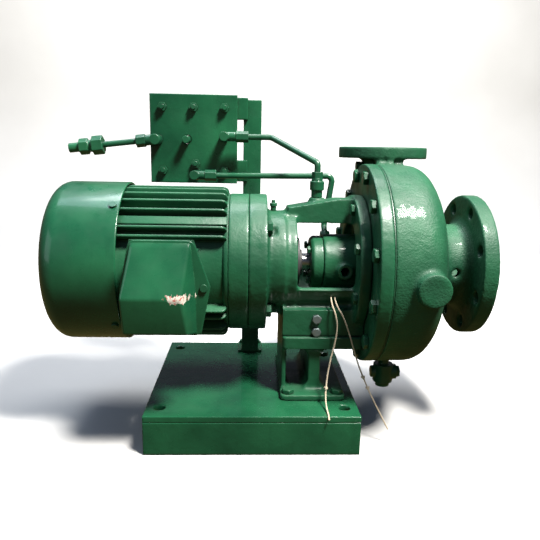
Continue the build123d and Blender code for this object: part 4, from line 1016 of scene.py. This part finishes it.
fit(smooth(cover, 30), "pump_frame", "green_enamel", cover_enamel, "conduit_cover")

# %% [markdown]
# ## Bolts and screws
# The same hexagon bolt in several sizes holds the flanges, the gland, the foot and the panel.
# One unit head with its chamfer is modelled once. Where each bolt stands, which way it faces and
# how big it is are read from the design's own solids, and Geometry Nodes place the copies.

# %% Unit head and shank
def unit_head():
    """A hexagon head one unit across its flats and one unit high, with a chamfered top."""
    work = bmesh.new()
    sides, chamfer_from = 24, 0.46
    rings = [[], [], [], []]
    for step in range(sides):
        angle = 2 * math.pi * step / sides
        off_flat = (math.degrees(angle) + 30) % 60 - 30
        reach = 0.5 / math.cos(math.radians(off_flat))
        dropped = 1 - max(0.0, reach - chamfer_from) * 1.4
        for ring, radius, height in (
            (rings[0], reach * 0.985, 0.0),
            (rings[1], reach, 0.06),
            (rings[2], reach, dropped),
            (rings[3], chamfer_from, 1.0),
        ):
            place = (radius * math.cos(angle), radius * math.sin(angle), height)
            ring.append(work.verts.new(place))
    for ring, following in zip(rings, rings[1:]):
        bridge(work, ring, following)
    work.faces.new(list(reversed(rings[0])))
    work.faces.new(rings[-1])
    return smooth(written(work, "unit_head"), 25)


def unit_shank():
    """A round bar one unit in radius that hangs one unit below the origin."""
    work = bmesh.new()
    bmesh.ops.create_cone(
        work, cap_ends=True, segments=20, radius1=0.94, radius2=1.0, depth=1.0
    )
    bmesh.ops.translate(work, verts=work.verts, vec=(0, 0, -0.5))
    return smooth(written(work, "unit_shank"), 40)

# %% Fastener tree
def fastener_tree():
    tree, start, end = geometry_tree(
        "fasteners",
        [("Head", "Object"), ("Shank", "Object"), ("Seed", "Int"), ("Material", "Material")],
    )

    def stored(label, kind):
        made = put(tree, "GeometryNodeInputNamedAttribute", {"Name": label}, data_type=kind)
        return made.outputs["Attribute"]

    face = put(tree, "FunctionNodeAlignRotationToVector", axis="Z")
    join(tree, stored("facing", "FLOAT_VECTOR"), face.inputs["Vector"])
    chance = put(tree, "FunctionNodeRandomValue", data_type="FLOAT")
    chance.inputs[3].default_value = math.radians(60)
    join(tree, start.outputs["Seed"], chance.inputs["Seed"])
    euler = put(tree, "ShaderNodeCombineXYZ")
    join(tree, chance.outputs[1], euler.inputs["Z"])
    own_turn = put(tree, "FunctionNodeEulerToRotation")
    join(tree, euler.outputs["Vector"], own_turn.inputs["Euler"])
    spun = put(tree, "FunctionNodeRotateRotation", rotation_space="LOCAL")
    join(tree, face.outputs["Rotation"], spun.inputs["Rotation"])
    join(tree, own_turn.outputs["Rotation"], spun.inputs["Rotate By"])
    gathered = put(tree, "GeometryNodeJoinGeometry")
    for shape, across, along in (("Head", "flats", "head"), ("Shank", "shank", "reach")):
        source = put(tree, "GeometryNodeObjectInfo")
        join(tree, start.outputs[shape], source.inputs["Object"])
        size = put(tree, "ShaderNodeCombineXYZ")
        wide = stored(across, "FLOAT")
        join(tree, wide, size.inputs["X"])
        join(tree, wide, size.inputs["Y"])
        join(tree, stored(along, "FLOAT"), size.inputs["Z"])
        placed = put(tree, "GeometryNodeInstanceOnPoints")
        join(tree, start.outputs["Geometry"], placed.inputs["Points"])
        join(tree, source.outputs["Geometry"], placed.inputs["Instance"])
        join(tree, spun.outputs["Rotation"], placed.inputs["Rotation"])
        join(tree, size.outputs["Vector"], placed.inputs["Scale"])
        join(tree, placed.outputs["Instances"], gathered.inputs["Geometry"])
    end_tree(tree, gathered.outputs["Geometry"], start, end)
    return tree

# %% Read the solids of a node
def solids_of(node):
    """The (low corner, high corner) of each separate solid in a design node."""
    work = joined_up(node)
    found, seen = [], set()
    for first in work.verts:
        if first in seen:
            continue
        group, waiting = [], [first]
        seen.add(first)
        while waiting:
            vertex = waiting.pop()
            group.append(vertex.co.copy())
            for edge in vertex.link_edges:
                other = edge.other_vert(vertex)
                if other not in seen:
                    seen.add(other)
                    waiting.append(other)
        low = Vector([min(place[axis] for place in group) for axis in range(3)])
        high = Vector([max(place[axis] for place in group) for axis in range(3)])
        found.append((low, high))
    work.free()
    return found

# %% Fasteners maker
def fasteners(name, node, facing_of, finish, slot, seed, head_share=0.42):
    """Replaces a node of bolts, each facing the way that facing_of gives for its middle."""
    places, data = [], {"facing": [], "flats": [], "head": [], "reach": [], "shank": []}
    for low, high in solids_of(node):
        middle, size = (low + high) / 2, high - low
        facing = facing_of(middle)
        axis = max(range(3), key=lambda part: abs(facing[part]))
        flats = min(size[part] for part in range(3) if part != axis)
        head = min(head_share * flats, size[axis])
        outer = high[axis] if facing[axis] > 0 else low[axis]
        seat = middle.copy()
        seat[axis] = outer - head * (1 if facing[axis] > 0 else -1)
        places.append(seat)
        data["facing"].append(facing)
        data["flats"].append(flats)
        data["head"].append(head)
        data["reach"].append(max(size[axis] - head, 0.2 * mm))
        data["shank"].append(flats * 0.31)
    mesh = bpy.data.meshes.new(name)
    mesh.from_pydata(places, [], [])
    for label, values in data.items():
        if label == "facing":
            stored = mesh.attributes.new(label, "FLOAT_VECTOR", "POINT")
            stored.data.foreach_set("vector", [part for value in values for part in value])
        else:
            stored = mesh.attributes.new(label, "FLOAT", "POINT")
            stored.data.foreach_set("value", values)
    piece = link(name, mesh)
    values = {"Head": head_shape, "Shank": shank_shape, "Seed": seed, "Material": finish}
    run_tree(piece, bolt_tree, values)
    print(name, len(places), "bolts, across flats", round(data["flats"][0] * 1000, 1), "mm")
    return fit(piece, "pump_frame", slot, finish, node)

# %% All the bolts
def along_x(way):
    return lambda middle: Vector((way, 0, 0))


def adapter_facing(middle):
    """The bolts on the motor face look at the pump, those on the pump flange at the motor."""
    adapter_low, adapter_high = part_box("adapter_frame")
    return Vector((1 if middle.x < (adapter_low.x + adapter_high.x) / 2 else -1, 0, 0))


head_shape, shank_shape, bolt_tree = unit_head(), unit_shank(), fastener_tree()
fasteners("casing_bolt_heads", "casing_bolts", along_x(-1), fitting_enamel, "green_enamel", 1)
fasteners("gland_bolt_heads", "gland_bolts", along_x(-1), fitting_enamel, "green_enamel", 2)
fasteners("adapter_bolt_heads", "adapter_bolts", adapter_facing, fitting_enamel, "green_enamel", 3)
fasteners(
    "base_bolt_heads",
    "base_bolts",
    lambda middle: Vector((0, 0, 1)),
    fitting_enamel,
    "green_enamel",
    4,
)
fasteners(
    "saddle_screw_heads",
    "saddle_screws",
    lambda middle: Vector((0, -1 if middle.y < shaft_y else 1, 0)),
    zinc,
    "bare_steel",
    5,
)
for helper in (head_shape, shank_shape):
    bpy.data.objects.remove(helper)

# %% [markdown]
# ## Finishes on the pieces that keep their shape
# Tubes, seal parts, bearings, rotor and windings are right as they are. Each takes the finish
# that the design's record names for it, except the gaskets, which take a dark green painted finish.

# %% Carried pieces
slot_of = {part["node"]: part["material_slot"] for part in frame["record"]["subparts"]}
carried = 0
for node, piece in nodes.items():
    if piece.hide_render:
        continue
    carried += 1
    finish = painted_gasket if node.endswith("gasket") else finishes[slot_of[node]]
    for socket in piece.material_slots:
        socket.material = finish
print("carried nodes", carried)

# %% [markdown]
# ## Floor and light
# The pump stands on a pale floor that curves up behind it. The floor lights nothing and shows in
# no reflection, because the pump itself stood outdoors over darker ground: the world is a blue
# sky over a warm ground, which the enamel mirrors. A soft lamp high on the right is the key, and
# cooler ones fill from the left and from above.

# %% Floor
def sweep_floor():
    """A floor that rises behind the object in one wide curve."""
    work = bmesh.new()
    half, back, bend, top = 4.0, 1.6, 0.8, 2.6
    line = [(-3.0, 0.0), (back, 0.0)]
    for step in range(1, 13):
        angle = math.pi / 2 * step / 12
        line.append((back + bend * math.sin(angle), bend * (1 - math.cos(angle))))
    line.append((back + bend, top))
    rows = [[work.verts.new((x, y, z)) for y, z in line] for x in (-half, half)]
    for step in range(len(line) - 1):
        work.faces.new((rows[0][step], rows[1][step], rows[1][step + 1], rows[0][step + 1]))
    swept = written(work, "floor")
    swept.data.shade_smooth()
    return swept


floor = sweep_floor()
floor_finish, floor_tree, floor_paint, floor_at = new_finish("pale_floor")
speckle = band(floor_tree, mottle(floor_tree, floor_at, 3.0), 0.3, 0.7)
join(
    floor_tree,
    blend_colour(floor_tree, speckle, (0.50, 0.495, 0.485), (0.54, 0.535, 0.525)),
    floor_paint.inputs["Base Color"],
)
floor_paint.inputs["Roughness"].default_value = 0.9
floor.data.materials.append(floor_finish)
floor.visible_glossy = False
floor.visible_diffuse = False
print("floor", [round(side, 1) for side in floor.dimensions])

# %% Lights
def soft_lamp(name, place, size, power, colour, aim=(0.03, 0.0, 0.24)):
    data = bpy.data.lights.new(name, "AREA")
    data.shape = "SQUARE"
    data.size = size
    data.energy = power
    data.color = colour
    lamp = bpy.data.objects.new(name, data)
    bpy.context.scene.collection.objects.link(lamp)
    lamp.location = place
    lamp.rotation_euler = (Vector(aim) - Vector(place)).to_track_quat("-Z", "Y").to_euler()
    return lamp


soft_lamp("key_lamp", (0.80, -0.85, 2.25), 0.45, 210, (1.0, 0.97, 0.92))
soft_lamp("fill_lamp", (-1.7, -1.3, 1.0), 1.2, 7, (0.80, 0.90, 1.0))
soft_lamp("top_lamp", (-0.5, 0.3, 2.1), 0.9, 14, (0.70, 0.84, 1.0))
soft_lamp("backdrop_lamp", (0.0, 0.9, 2.4), 1.6, 95, (1.0, 1.0, 1.0), (0.0, 2.4, 0.7))
world = bpy.data.worlds.new("studio")
world.use_nodes = True
sky = world.node_tree
direction = put(sky, "ShaderNodeTexCoord").outputs["Generated"]
height = put(sky, "ShaderNodeSeparateXYZ")
join(sky, direction, height.inputs["Vector"])
ramp = put(sky, "ShaderNodeValToRGB")
for element, place, colour in (
    (ramp.color_ramp.elements[0], 0.40, (0.46, 0.36, 0.12, 1.0)),
    (ramp.color_ramp.elements[1], 0.52, (0.46, 0.60, 0.80, 1.0)),
    (ramp.color_ramp.elements.new(0.95), 0.95, (0.26, 0.42, 0.80, 1.0)),
):
    element.position = place
    element.color = colour
join(sky, band(sky, height.outputs["Z"], -1.0, 1.0), ramp.inputs["Fac"])
join(sky, ramp.outputs["Color"], sky.nodes["Background"].inputs["Color"])
sky.nodes["Background"].inputs["Strength"].default_value = 0.36
bpy.context.scene.world = world
bpy.context.scene.view_settings.view_transform = "Standard"
print("four lamps and a sky")
